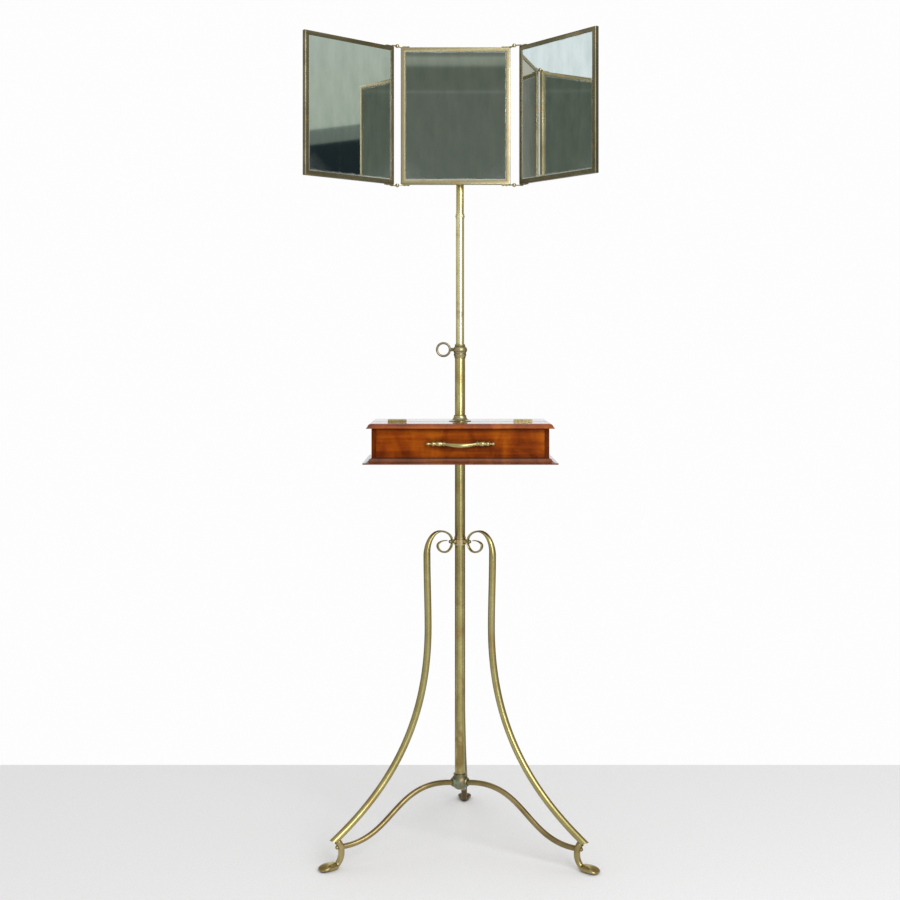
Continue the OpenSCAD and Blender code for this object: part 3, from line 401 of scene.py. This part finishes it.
lid_joint = -0.026
front_tones = ((0.100, 0.014, 0.0004), (0.235, 0.041, 0.0008), (0.370, 0.086, 0.002))
edge_tones = ((0.085, 0.021, 0.007), (0.165, 0.046, 0.014), (0.26, 0.080, 0.024))
front_wood = wood_finish("polished mahogany", *front_tones)
side_wood = wood_finish("polished mahogany, side", *front_tones, along="y")
top_wood = wood_finish("polished mahogany, top", *front_tones, joint=lid_joint)
edge_wood = wood_finish("moulded mahogany", *edge_tones, polish=0.9, coat_rough=0.09)
bare_wood = wood_finish("bare cedar", (0.26, 0.13, 0.06), (0.40, 0.22, 0.11), (0.50, 0.30, 0.16),
                        polish=0.0, base_rough=0.6)
back_wood = wood_finish("stained backboard", (0.020, 0.012, 0.008), (0.045, 0.026, 0.016),
                        (0.075, 0.045, 0.028), polish=0.25, coat_rough=0.35, base_rough=0.5)
woods = (front_wood, side_wood, top_wood, edge_wood, bare_wood, back_wood)
print("woods:", [wood.name for wood in woods])

# %% [markdown]
# ## Old mirror glass
#
# Silvering tarnishes from the edges in. The pane reflects as cleanly as a new one in its middle,
# a little green and a little darker, and turns cloudy and bluish in a thin ragged rim, with a haze
# in the corners of its foot. The pane has a UV map that runs from 0 to 1 across and up inside the
# frame, so the rim is found from the distance to the nearest edge, whatever way the wing is
# turned. Old glass sits a little askew in its frame. A bump over the whole pane tilts its shading
# for that, and not the glass.

# %% Mix the mirror
silver_tone, cloudy_silver = (0.86, 0.89, 0.85), (0.72, 0.77, 0.73)
bare_glass = (0.15, 0.20, 0.21)


def mirror_finish(name, seed, askew):
    """askew is how much further the glass stands out at its right end, in metres"""
    finish, tree, shader = new_finish(name)
    flat = add(tree, "UVMap", {}, uv_map="pane")
    where = add(tree, "TexCoord", {}, "Object")
    across, up = split(tree, flat)[:2]
    side = maths(tree, "MINIMUM", across, maths(tree, "SUBTRACT", 1.0, across))
    ends = maths(tree, "MINIMUM", up, times(tree, maths(tree, "SUBTRACT", 1.0, up), 1.9))
    edge = maths(tree, "MINIMUM", times(tree, side, 1.3), ends)
    moved = add(tree, "Mapping", {"Vector": flat, "Location": (seed, seed, 0)})
    rag = noise(tree, moved, 9, 5, 0.6)
    rim = maths(tree, "ADD", edge, times(tree, maths(tree, "SUBTRACT", rag, 0.5), 0.035))
    lost = span(tree, rim, -0.010, 0.016, 0.6, 0)
    corner = maths(tree, "ADD", times(tree, side, 0.6), up)
    haze = span(tree, rag, 0.35, 0.65, 0.02, 0.12)
    haze = times(tree, span(tree, corner, 0.02, 0.20, 1, 0), haze)
    lost = maths(tree, "MAXIMUM", lost, haze)
    cloud = noise(tree, flat, 5.5, 5, 0.6, stretch=(1.6, 0.7, 1))
    silver = two_tone(tree, span(tree, cloud, 0.35, 0.7), silver_tone, cloudy_silver)
    feed(tree, shader.inputs["Base Color"], two_tone(tree, lost, silver, bare_glass))
    feed(tree, shader.inputs["Metallic"], span(tree, lost, 0, 1, 1.0, 0.35))
    grain = span(tree, noise(tree, where, 900, 2, 0.5), 0.3, 0.7, 0.012, 0.03)
    feed(tree, shader.inputs["Roughness"], maths(tree, "ADD", times(tree, lost, 0.35), grain))
    shader.inputs["Coat Weight"].default_value = 0.3
    shader.inputs["Coat Roughness"].default_value = 0.01
    if askew:
        relief(tree, shader, times(tree, across, askew), 1.0, 1.0)
    return finish


pane_finishes = {"left": mirror_finish("old mirror, left", 3.1, 0.0103),
                 "centre": mirror_finish("old mirror, middle", 7.4, 0),
                 "right": mirror_finish("old mirror, right", 1.7, 0)}
print("mirrors:", list(pane_finishes))

# %% [markdown]
# ## A finish for every CAD node
#
# Most CAD nodes have the right shape: the turned, cast and sawn pieces. They stay as they are and
# get their finish by name. The nodes that are drawn again further down get theirs there.

# %% Dress the CAD nodes
dress = {
    tube_brass: ["head_stem"],
    column_brass: ["column"],
    bright_brass: ["inner_pole", "pole_ferrule"],
    dull_brass: ["top_flange", "clamp_collar", "scroll_bolts"],
    ring_brass: ["thumbscrew"],
    collar_brass: ["scroll_collar"],
    plate_brass: ["lid_hinge_plates", "lid_hinge_leaves"],
    cast_brass: ["tilt_nut"],
    crusted_brass: ["hub", "bottom_flange", "pole_guide"],
    frame_brass: ["tilt_bracket", "centre_straps", "left_straps", "right_straps"],
    screw_brass: ["foot_bolts", "stand_screws", "lid_screws", "handle_screws",
                  "bracket_rivets", "tilt_screw", "wing_pivots"],
    front_wood: ["drawer_front", "box_back"],
    top_wood: ["lid", "box_top_rear"],
    side_wood: ["box_side_left", "box_side_right"],
    edge_wood: ["box_base"],
    bare_wood: ["box_divider", "well_floor", "well_front", "drawer_side_left", "drawer_side_right",
                "drawer_back", "drawer_bottom"],
    back_wood: ["centre_board", "left_board", "right_board"],
}
for finish, names in dress.items():
    for name in names:
        nodes[name].data.materials.clear()
        nodes[name].data.materials.append(finish)
print("dressed", sum(len(names) for names in dress.values()), "CAD nodes")

# %% [markdown]
# ## Bars that follow a line
#
# A leg is a brass tube that was bent over a former, and its upper end was hammered to a flat band
# and rolled into a scroll. It can be made from a curve with a round bevel, but then the band's
# other section is hard to get. Here a ring is drawn out along the line instead, as in edit mode:
# extrude, turn the ring square to the line, and squeeze it to its new section. The helper takes
# the line in the XZ plane and, for each point, half the bar's size in that plane and across it.

# %% Define the drawn bar
def cubic(a, b, c, d, n):
    """Points of a cubic curve from a to d, without a itself"""
    a, b, c, d = map(Vector, (a, b, c, d))
    return [tuple((1 - t) ** 3 * a + 3 * (1 - t) ** 2 * t * b + 3 * (1 - t) * t * t * c + t ** 3 * d)
            for t in (i / n for i in range(1, n + 1))]


def arc(centre, rx, rz, start_angle, end_angle, n):
    """Points of an ellipse's arc, without the first one"""
    turns = [math.radians(start_angle + (end_angle - start_angle) * i / n) for i in range(1, n + 1)]
    return [(centre[0] + rx * math.cos(q), centre[1] + rz * math.sin(q)) for q in turns]


def drawn_bar(name, line, halves, sides, tilt=0.0):
    """Draws a ring out along a line of millimetre points (x, z); tilt, in radians, slants the
    first end"""
    points = [Vector((x, 0, z)) * mm for x, z in line]
    last = len(points) - 1
    lean = []
    for i in range(last + 1):
        way = points[min(i + 1, last)] - points[max(i - 1, 0)]
        lean.append(math.atan2(way.x, way.z))
    lean[0] += tilt
    start()
    bpy.ops.mesh.primitive_circle_add(vertices=sides, radius=mm, fill_type="NGON",
                                      location=(0, 0, 0))
    piece = take(name)
    bpy.ops.object.mode_set(mode="EDIT")
    bpy.ops.transform.resize(value=(halves[0][0], halves[0][1], 1), center_override=(0, 0, 0))
    bpy.ops.transform.rotate(value=-lean[0], orient_axis="Y", center_override=(0, 0, 0))
    bpy.ops.transform.translate(value=points[0])
    for i in range(1, last + 1):
        step = points[i] - points[i - 1]
        bpy.ops.mesh.extrude_region_move(TRANSFORM_OT_translate={"value": step})
        turn = (lean[i] - lean[i - 1] + math.pi) % (2 * math.pi) - math.pi
        bpy.ops.transform.rotate(value=-turn, orient_axis="Y", center_override=points[i])
        thin = halves[i][0] / halves[i - 1][0]
        wide = halves[i][1] / halves[i - 1][1]
        bpy.ops.transform.resize(value=(thin, wide, thin), center_override=points[i])
    bpy.ops.mesh.select_all(action="SELECT")
    bpy.ops.mesh.normals_make_consistent(inside=False)
    bpy.ops.object.mode_set(mode="OBJECT")
    return piece


def same(half, n):
    """One section for n points"""
    return [half] * n


def change(a, b, n):
    """Sections that go from a to b in n points, without a itself"""
    return [tuple(p + (q - p) * i / n for p, q in zip(a, b)) for i in range(1, n + 1)]


print("drawn bar ready")

# %% [markdown]
# ## The legs
#
# Each leg rises from its foot in a long curve, runs upright near the column, and goes over a small
# arch where the tube becomes a band. The band runs down to the collar and rolls into a scroll. One
# leg is drawn in the XZ plane and turned into its three places. Its lower end is cut off at a
# slant, nearly level, and shows the tube's bore, so the end face is inset and pushed in.

# %% Measure a leg
slope = math.radians(36.3)
foot_end = (272, 48.4)
tube_radius, tube_wall, bore_depth = 6.75, 1.4, 19
tube, arch, band, tip = (tube_radius, tube_radius), (2.2, 4.55), (1.9, 4.25), (0.9, 3.45)
leg_cut = math.radians(36.7)
slant_half = tube_radius / math.cos(leg_cut)


def up_slope(distance):
    """The point that far up the straight lower end of the leg"""
    return (foot_end[0] - distance * math.cos(slope), foot_end[1] + distance * math.sin(slope))


cut_middle = up_slope(tube_radius * math.tan(leg_cut))
print("leg's cut is at", [round(c, 1) for c in cut_middle], "mm")

# %% Draw a leg
leg_line = ([cut_middle, up_slope(19)]
            + cubic(up_slope(19), up_slope(168), (70.3, 263.5), (70.3, 430.5), 40)
            + cubic((70.3, 430.5), (70.3, 475.5), (72.8, 526), (72.8, 571), 10)
            + arc((44, 571), 28.8, 42.5, 0, 90, 18)
            + arc((44, 592), 26.65, 21.5, 90, 180, 16)
            + arc((33.35, 592), 16, 19.4, 180, 270, 14)
            + arc((33.35, 586), 16, 13.4, 270, 360, 14)
            + arc((33.35, 586), 16, 9, 0, 105, 14))
leg_halves = ([(slant_half, tube_radius)] + same(tube, 51) + change(tube, arch, 18)
              + same(band, 44) + change(band, tip, 14))
leg = drawn_bar("leg_left_tube", leg_line, leg_halves, 28, tilt=leg_cut)
only(leg)
bpy.ops.object.mode_set(mode="EDIT")
end_middle = Vector((cut_middle[0], 0, cut_middle[1])) * mm
pick(leg, "faces", lambda face, middle: len(face.verts) > 4
     and (middle - end_middle).length < 0.5 * mm)
bpy.ops.mesh.inset(thickness=tube_wall * mm)
bore = Vector((-math.cos(slope), 0, math.sin(slope))) * bore_depth * mm
bpy.ops.mesh.extrude_region_move(TRANSFORM_OT_translate={"value": bore})
bpy.ops.object.mode_set(mode="OBJECT")
smooth(leg, 40)

# %% Turn the leg into its three places
leg_turns = {"left": 208.7, "right": 328.7, "back": 87.6}


def three_of(shape, kind, ending, brass):
    """Turns copies of a shape into the tripod's three places; the back one gets a darker brass as painted
    shade
    """
    for side, degrees in leg_turns.items():
        turn = Matrix.Rotation(math.radians(degrees), 4, "Z")
        piece = copy_of(shape, kind + "_" + side + "_" + ending, turn)
        piece.data.materials.clear()
        # The back copy is painted darker, as shade.
        piece.data.materials.append(back_shade_brass if side == "back" else brass)
        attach(piece, "stand")
        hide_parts(kind + "_" + side)
    bpy.data.objects.remove(shape)


three_of(leg, "leg", "bent", tube_brass)
print("legs at", list(leg_turns.values()))

# %% [markdown]
# ## The stretchers
#
# A thinner solid bar leaves each socket of the hub, arches over, and comes down in an S to the
# stem of the foot. It is drawn in the same way, with one round section all along.

# %% Draw the stretchers
stretcher_end, stretcher_radius = 254.24, 5.25
socket_z, stem_z = 124, 39
stretcher_line = ([(11.5, socket_z), (18.4, socket_z)]
                  + cubic((18.4, socket_z), (141, 146), (stretcher_end - 110, stem_z),
                          (stretcher_end - 6, stem_z), 48)
                  + [(stretcher_end - 2.5, stem_z)])
round_bar = same((stretcher_radius, stretcher_radius), len(stretcher_line))
bar = drawn_bar("stretcher_bar", stretcher_line, round_bar, 24)
smooth(bar, 40)
three_of(bar, "stretcher", "bar", dark_brass)
print("stretchers end at radius", round(stretcher_end, 2), "mm")

# %% [markdown]
# ## The feet
#
# Each foot is one casting: a stem that hooks round under the leg, thins on its way down and
# spreads into a low pad. It is drawn as one bar whose ring grows wide and low along its way. One
# level of subdivision rounds it, its underside is pressed flat at the floor, and its top is
# notched for the tube by cutting a rod away that is a little thinner than the tube.

# %% Draw a foot
stem, ankle, instep, pad = (6.5, 6.5), (5.6, 5.8), (8.6, 9.8), (7.4, 14.0)
bend = (284.7, 29.2)
bend_end = (260.9, 7.8)
foot_line = (arc(bend, 32, 32, 132, 222, 22)
             + cubic(bend_end, (264.2, 4.2), (271, 5.6), (281, 6.0), 8)
             + [(287, 5.2), (291.5, 4.2), (295.3, 3.2), (297.6, 2.4)])
foot_halves = (same(stem, 6) + change(stem, ankle, 16)
               + change(ankle, instep, 4) + change(instep, pad, 4)
               + [(6.2, 14.6), (4.9, 13.4), (3.4, 10.5), (1.8, 6.0)])
cast_foot = drawn_bar("cast_foot", foot_line, foot_halves, 24)
modify(cast_foot, "SUBSURF", levels=1, render_levels=1)
bpy.ops.object.mode_set(mode="EDIT")
below = pick(cast_foot, "verts", lambda vert, middle: middle.z < 0)
bpy.ops.transform.resize(value=(1, 1, 0), center_override=(0, 0, 0))
bpy.ops.object.mode_set(mode="OBJECT")
print("pressed", below, "points of the foot flat")

# %% Notch the foot and place three
notch_radius, notch_length = 6.1, 50
rod_middle = up_slope(10)
start()
bpy.ops.mesh.primitive_cylinder_add(vertices=48, radius=notch_radius * mm, depth=notch_length * mm,
                                    rotation=(0, math.radians(90) + slope, 0),
                                    location=(rod_middle[0] * mm, 0, rod_middle[1] * mm))
rod = take("notch_rod")
modify(cast_foot, "BOOLEAN", operation="DIFFERENCE", object=rod)
bpy.data.objects.remove(rod)
smooth(cast_foot, 50)
three_of(cast_foot, "foot", "cast", foot_brass)

# %% [markdown]
# ## The handle
#
# The handle is cast: a bowed grip between two turned finials, on two short posts with round feet.
# The grip's beads come from a list of radii along its length, drawn as a bar whose ring changes
# size at each step, and two levels of subdivision round them as casting and wear do. The grip
# droops from its posts. These are cylinders, each with a bevelled foot, joined to the grip.

# %% Draw the grip
beads = [(0, 4.9), (10, 4.7), (20, 4), (27, 3.3), (29, 3.4), (30, 4.9), (32, 5.1), (33.5, 3.5),
         (36, 4.4), (41, 5.8), (45, 4.2), (47, 3), (49, 4.2), (51.5, 4.9), (54, 4), (55.5, 2.2),
         (57, 2), (59, 3.2), (61, 3.6), (63, 2.9), (64.8, 1.6), (65.5, 0.6)]
profile = [(-x, r) for x, r in reversed(beads[1:])] + beads
bow_depth, bow_end = 7.6, 31
post_length = 7.5
droop = 22


def bow(x):
    """How far the grip's middle line stands out from the posts' ends at x"""
    return bow_depth * math.cos(math.pi / 2 * x / bow_end) if abs(x) < bow_end else 0


grip = drawn_bar("handle_grip", [(x, bow(x)) for x, r in profile],
                 [(r, r) for x, r in profile], 20)
modify(grip, "SUBSURF", levels=2, render_levels=2)
handle_middle = Vector((0, -100, 787.9)) * mm
post_ends = handle_middle - Vector((0, post_length, 0)) * mm
settle(grip, Matrix.Translation(post_ends) @ Matrix.Rotation(math.radians(90 + droop), 4, "X"))
smooth(grip, 60)

# %% Add the posts and their feet
post_x, post_radius = 41, 3.4
foot_height, foot_wide, foot_narrow = 1.8, 4.8, 4.1
posts = []
for x in (-post_x, post_x):
    start()
    bpy.ops.mesh.primitive_cylinder_add(
        vertices=40, radius=post_radius * mm, depth=post_length * mm,
        rotation=(math.radians(90), 0, 0),
        location=(x * mm, handle_middle.y - post_length / 2 * mm, handle_middle.z))
    posts.append(take("handle_post"))
    start()
    bpy.ops.mesh.primitive_cone_add(
        vertices=48, radius1=foot_wide * mm, radius2=foot_narrow * mm,
        depth=foot_height * mm, rotation=(math.radians(90), 0, 0),
        location=(x * mm, handle_middle.y - foot_height / 2 * mm, handle_middle.z))
    foot = take("handle_foot")
    bpy.ops.object.mode_set(mode="EDIT")
    pick(foot, "faces", lambda face, middle: len(face.verts) > 4 and middle.z > 0.5 * mm)
    bpy.ops.mesh.bevel(offset=0.5 * mm, segments=3)
    bpy.ops.mesh.inset(thickness=1.0 * mm)
    bpy.ops.object.mode_set(mode="OBJECT")
    posts.append(foot)
for post in posts:
    settle(post)
only(grip)
for post in posts:
    post.select_set(True)
bpy.context.view_layer.objects.active = grip
bpy.ops.object.join()
smooth(grip, 40)
grip.data.materials.clear()
grip.data.materials.append(grip_brass)
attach(grip, "drawer")
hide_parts("drawer_handle")

# %% [markdown]
# ## The mirror frames
#
# Each frame is a thin brass channel, mitred at the corners, that grips the glass and its board. A
# cube of the panel's size is the start. Insetting its front and back faces gives the two lips with
# the mitre lines already in them, and with the inner faces gone, solidifying the shell gives the
# channel its wall. The outer edges are worn round, so they are bevelled, the front ones most.

# %% Fold a channel frame
panel_w, panel_h, panel_t = 211.4, 264.5, 9.0
lip, frame_wall = 8.5, 1.2
start()
bpy.ops.mesh.primitive_cube_add(
    size=1, location=(panel_w / 2 * mm, panel_t / 2 * mm, panel_h / 2 * mm),
    scale=(panel_w * mm, panel_t * mm, panel_h * mm))
channel = take("channel_frame")
settle(channel)
bpy.ops.object.mode_set(mode="EDIT")
pick(channel, "faces", lambda face, middle: abs(face.normal.y) > 0.9)
bpy.ops.mesh.inset(thickness=lip * mm, use_individual=True)
bpy.ops.mesh.delete(type="FACE")
bpy.ops.object.mode_set(mode="OBJECT")
modify(channel, "SOLIDIFY", thickness=frame_wall * mm, offset=-1, use_even_offset=True)
print("channel has", len(channel.data.polygons), "faces")

# %% Round its edges
def on_edge(depth, inward):
    """A test for edges at a depth behind the front and so far in from the panel's outline"""
    def test(edge, middle):
        inside = min(middle.x, panel_w * mm - middle.x, middle.z, panel_h * mm - middle.z)
        return abs(middle.y - depth * mm) < 0.01 * mm and abs(inside - inward * mm) < 0.01 * mm
    return test


bpy.ops.object.mode_set(mode="EDIT")
front_edges = pick(channel, "edges", on_edge(0, 0))
bpy.ops.mesh.bevel(offset=2.2 * mm, segments=4, profile=0.6)
back_edges = pick(channel, "edges", on_edge(panel_t, 0))
bpy.ops.mesh.bevel(offset=1.0 * mm, segments=2)
lip_edges = pick(channel, "edges", on_edge(0, lip))
bpy.ops.mesh.bevel(offset=0.8 * mm, segments=3)
bpy.ops.object.mode_set(mode="OBJECT")
smooth(channel, 30)
print("rounded", front_edges, "front,", back_edges, "back and", lip_edges, "lip edges")

# %% [markdown]
# The three panels are equal. The middle one stands square, and the wings are turned about their
# pivots. Each place is one matrix: out along the panel's own width, turned, then moved to its
# pivot.

# %% Place the frames
panels_foot = 1282.65 * mm


def wing_place(pivot, degrees, out, back):
    """A pivot's place, the turn about it, and where the panel's corner is from it"""
    return (Matrix.Translation((pivot[0] * mm, pivot[1] * mm, panels_foot))
            @ Matrix.Rotation(math.radians(degrees), 4, "Z")
            @ Matrix.Translation((out * mm, back * mm, 0)))


panel_places = {
    "centre": Matrix.Translation((-114.4 * mm, -34 * mm, panels_foot)),
    "left": wing_place((-121.0, -34.75), 42.4, -218.0, 0.75),
    "right": wing_place((103.8, -40.0), -52.4, 6.8, 6.0),
}
bodies = {"centre": "head", "left": "left_wing", "right": "right_wing"}
for side, place in panel_places.items():
    piece = copy_of(channel, side + "_channel", place)
    # The wings' channels get the darker brass, as painted shade.
    piece.data.materials.append(frame_brass if side == "centre" else wing_shade_brass)
    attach(piece, bodies[side])
    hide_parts(side + "_frame")
bpy.data.objects.remove(channel)
print("frames placed:", list(panel_places))

# %% [markdown]
# ## The mirror panes
#
# A pane is a plate of glass with its silvering behind it. Its edge is ground off at a slight
# slant, which shows as a thin line inside the frame. A cube of the pane's size is inset on its
# front, and the outline of the front is pushed back a little for the slant. It is shaded flat,
# since smooth shading over so blunt an edge would bend everything that the pane reflects. It gets
# its UV map before the copies are turned into place.

# %% Grind a pane
pane_edge, pane_front, pane_t = 1.5, 1.25, 4
slant_width, slant_depth = 1.6, 0.2
pane_w, pane_h = panel_w - 2 * pane_edge, panel_h - 2 * pane_edge
start()
bpy.ops.mesh.primitive_cube_add(
    size=1, location=(panel_w / 2 * mm, (pane_front + pane_t / 2) * mm, panel_h / 2 * mm),
    scale=(pane_w * mm, pane_t * mm, pane_h * mm))
pane = take("mirror_pane")
settle(pane)
bpy.ops.object.mode_set(mode="EDIT")
pick(pane, "faces", lambda face, middle: face.normal.y < -0.9)
bpy.ops.mesh.inset(thickness=(lip - pane_edge + slant_width) * mm)
pushed = pick(pane, "edges", on_edge(pane_front, pane_edge))
bpy.ops.transform.translate(value=(0, slant_depth * mm, 0))
bpy.ops.object.mode_set(mode="OBJECT")
print("pushed", pushed, "edges back")

# %% Map the pane and place three
layer = pane.data.uv_layers.new(name="pane")
for loop in pane.data.loops:
    corner = pane.data.vertices[loop.vertex_index].co
    layer.data[loop.index].uv = ((corner.x / mm - lip) / (panel_w - 2 * lip),
                                 (corner.z / mm - lip) / (panel_h - 2 * lip))
smooth(pane, 1)
for side, place in panel_places.items():
    piece = copy_of(pane, side + "_pane", place)
    piece.data.materials.append(pane_finishes[side])
    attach(piece, bodies[side])
    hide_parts(side + "_mirror")
bpy.data.objects.remove(pane)
print("panes placed:", list(panel_places))

# %% [markdown]
# ## The floor
#
# The stand is shown on a plain pale floor that ends a little behind it, against white. The floor isn't
# part of the object. It keeps the shadow of the feet.

# %% Lay the floor
floor_width, floor_front, floor_back, floor_z = 9, -4.0, 0.526, -0.0004
start()
bpy.ops.mesh.primitive_plane_add(size=1, location=(0, (floor_front + floor_back) / 2, floor_z))
floor = take("floor")
bpy.ops.transform.resize(value=(floor_width, floor_back - floor_front, 1))
settle(floor)
floor_finish, tree, shader = new_finish("pale floor")
where = add(tree, "TexCoord", {}, "Object")
pile = noise(tree, where, 260, 4, 0.7)
carpet = ramp(tree, pile, [(0.35, (0.80, 0.80, 0.802)), (0.65, (0.86, 0.86, 0.862))])
feed(tree, shader.inputs["Base Color"], carpet)
shader.inputs["Roughness"].default_value = 0.9
relief(tree, shader, pile, 0.2, 0.001)
floor.data.materials.append(floor_finish)
print("floor ends at y", floor_back)

# %% [markdown]
# ## The room and the lamps
#
# Metal and mirrors only look like themselves when there is a room to reflect. The world is white
# where the camera sees it, evenly pale as a light for the wood, and for reflections it is a plain
# studio: grey behind the camera, darker and browner round both sides, pale again behind the stand,
# and brighter above eye level than below. All of that is read from the direction alone.

# %% Paint the room
world = bpy.data.worlds.new("studio")
bpy.context.scene.world = world
world.use_nodes = True
tree = world.node_tree
tree.nodes.clear()
look = split(tree, add(tree, "TexCoord", {}, "Generated"))
ahead = times(tree, look[1], -1.0)
azimuth = times(tree, maths(tree, "ARCTAN2", look[0], ahead), 180 / math.pi)
height = times(tree, maths(tree, "ARCSINE", look[2]), 180 / math.pi)
round_room = span(tree, azimuth, -180, 180)


def at(degrees):
    """The place of an azimuth on the ramp round the room"""
    return (degrees + 180) / 360


def grey(v):
    """A grey that is a little warm"""
    return (v, v, v * 0.97)


walls = ramp(tree, round_room, [
    (at(-180), (0.46, 0.48, 0.49)), (at(-167), (0.43, 0.45, 0.46)), (at(-158), (0.22, 0.20, 0.16)),
    (at(-120), (0.16, 0.13, 0.09)), (at(-80), (0.24, 0.23, 0.20)), (at(-45), grey(0.33)),
    (at(-16), grey(0.40)), (at(16), grey(0.40)), (at(45), grey(0.32)), (at(80), (0.21, 0.20, 0.16)),
    (at(120), (0.16, 0.12, 0.08)), (at(158), (0.20, 0.17, 0.13)), (at(167), (0.43, 0.45, 0.46)),
    (at(180), (0.46, 0.48, 0.49))])
print("room painted round", len(walls.node.color_ramp.elements), "stops")

# %% [markdown]
# A flat mirror sees only a small patch of the room. What it shows can be painted there, layered
# over the walls. The middle one sees the room straight ahead of it and a little up, a dim grey
# green, with a pale rail high up and a thin line under it. The left wing sees the right wall,
# which is dark below a grey band and pale above, and the right wing sees a pale patch far left.
# Where the left wing shows the right one, light has turned twice and comes from a small dark
# patch, ahead and a little left. The polished front of the box sees a dark one, ahead and down.

# %% Add what the mirrors see
side_blur = 2


def between(value, low, high, soft):
    """1 between two limits, with soft edges"""
    rise = span(tree, value, low - soft, low + soft)
    fall = span(tree, value, high - soft, high + soft, 1, 0)
    return times(tree, rise, fall)


def hang(room, colour, sides, levels, soft=1):
    """Lays a colour over the room between two azimuths and two heights, in degrees; soft is how
    far the heights blur"""
    patch = times(tree, between(azimuth, *sides, side_blur), between(height, *levels, soft))
    return two_tone(tree, patch, room, colour)


rail = ramp(tree, span(tree, height, 6, 14), [
    (0.0, (0.130, 0.150, 0.126)), (0.585, (0.122, 0.140, 0.118)), (0.594, (0.175, 0.198, 0.172)),
    (0.604, (0.118, 0.136, 0.112)), (0.715, (0.112, 0.130, 0.105)), (0.732, (0.235, 0.265, 0.220)),
    (0.764, (0.275, 0.305, 0.255)), (0.776, (0.150, 0.170, 0.142)), (1.0, (0.18, 0.21, 0.17))])
lift = span(tree, height, -10, 5, 0.85, 2.3)
walls = add(tree, "VectorMath", {0: walls, "Scale": lift}, operation="SCALE")
slant = times(tree, maths(tree, "SUBTRACT", azimuth, 75.0), 0.13)
right_wall = ramp(tree, span(tree, maths(tree, "SUBTRACT", height, slant), 6, 14), [
    (0.0, (0.012, 0.020, 0.024)), (0.352, (0.014, 0.022, 0.025)), (0.358, (0.14, 0.17, 0.15)),
    (0.428, (0.15, 0.185, 0.16)), (0.434, (0.40, 0.46, 0.39)), (1.0, (0.46, 0.51, 0.46))])
room = hang(walls, (0.035, 0.030, 0.022), (-6, 6), (-12, -0.5), 1.5)
room = hang(room, rail, (-11, 11), (5.5, 16))
room = hang(room, right_wall, (70, 94), (4, 16))
room = hang(room, (0.78, 0.86, 0.89), (-112, -88), (4, 16))
room = hang(room, (0.07, 0.075, 0.05), (-24, -12), (5.5, 16))
print("room and patches:", len(tree.nodes), "nodes")

# %% Keep the backdrop white
even_light, white = (0.80, 0.80, 0.80), (0.985, 0.985, 0.985)
kinds = tree.nodes.new("ShaderNodeLightPath").outputs
seen = maths(tree, "MAXIMUM", kinds["Is Camera Ray"], kinds["Is Transmission Ray"])
even = two_tone(tree, kinds["Is Glossy Ray"], even_light, room)
backdrop = two_tone(tree, seen, even, white)
surface = add(tree, "Background", {"Color": backdrop, "Strength": 1.0})
out = tree.nodes.new("ShaderNodeOutputWorld")
tree.links.new(surface, out.inputs["Surface"])
print("world nodes:", len(tree.nodes))

# %% [markdown]
# Two lamps do the rest. A tall soft strip right of the camera draws the bright line along the
# tubes, and a broad one further right and above lights the box and throws the soft shadows.

# %% Hang the lamps
def soft_lamp(name, place, aim, size, watts):
    """A rectangle of light that faces a point"""
    lamp = bpy.data.lights.new(name, "AREA")
    lamp.shape = "RECTANGLE"
    lamp.size, lamp.size_y = size
    lamp.energy = watts
    holder = bpy.data.objects.new(name, lamp)
    holder.location = place
    holder.rotation_euler = (Vector(aim) - Vector(place)).to_track_quat("-Z", "Y").to_euler()
    bpy.context.scene.collection.objects.link(holder)


soft_lamp("tall lamp", (0.78, -2.5, 1.35), (0, 0, 0.95), (0.66, 1.6), 23)
soft_lamp("broad lamp", (1.7, -2.3, 2.5), (0, 0, 0.8), (1.3, 1.3), 22)
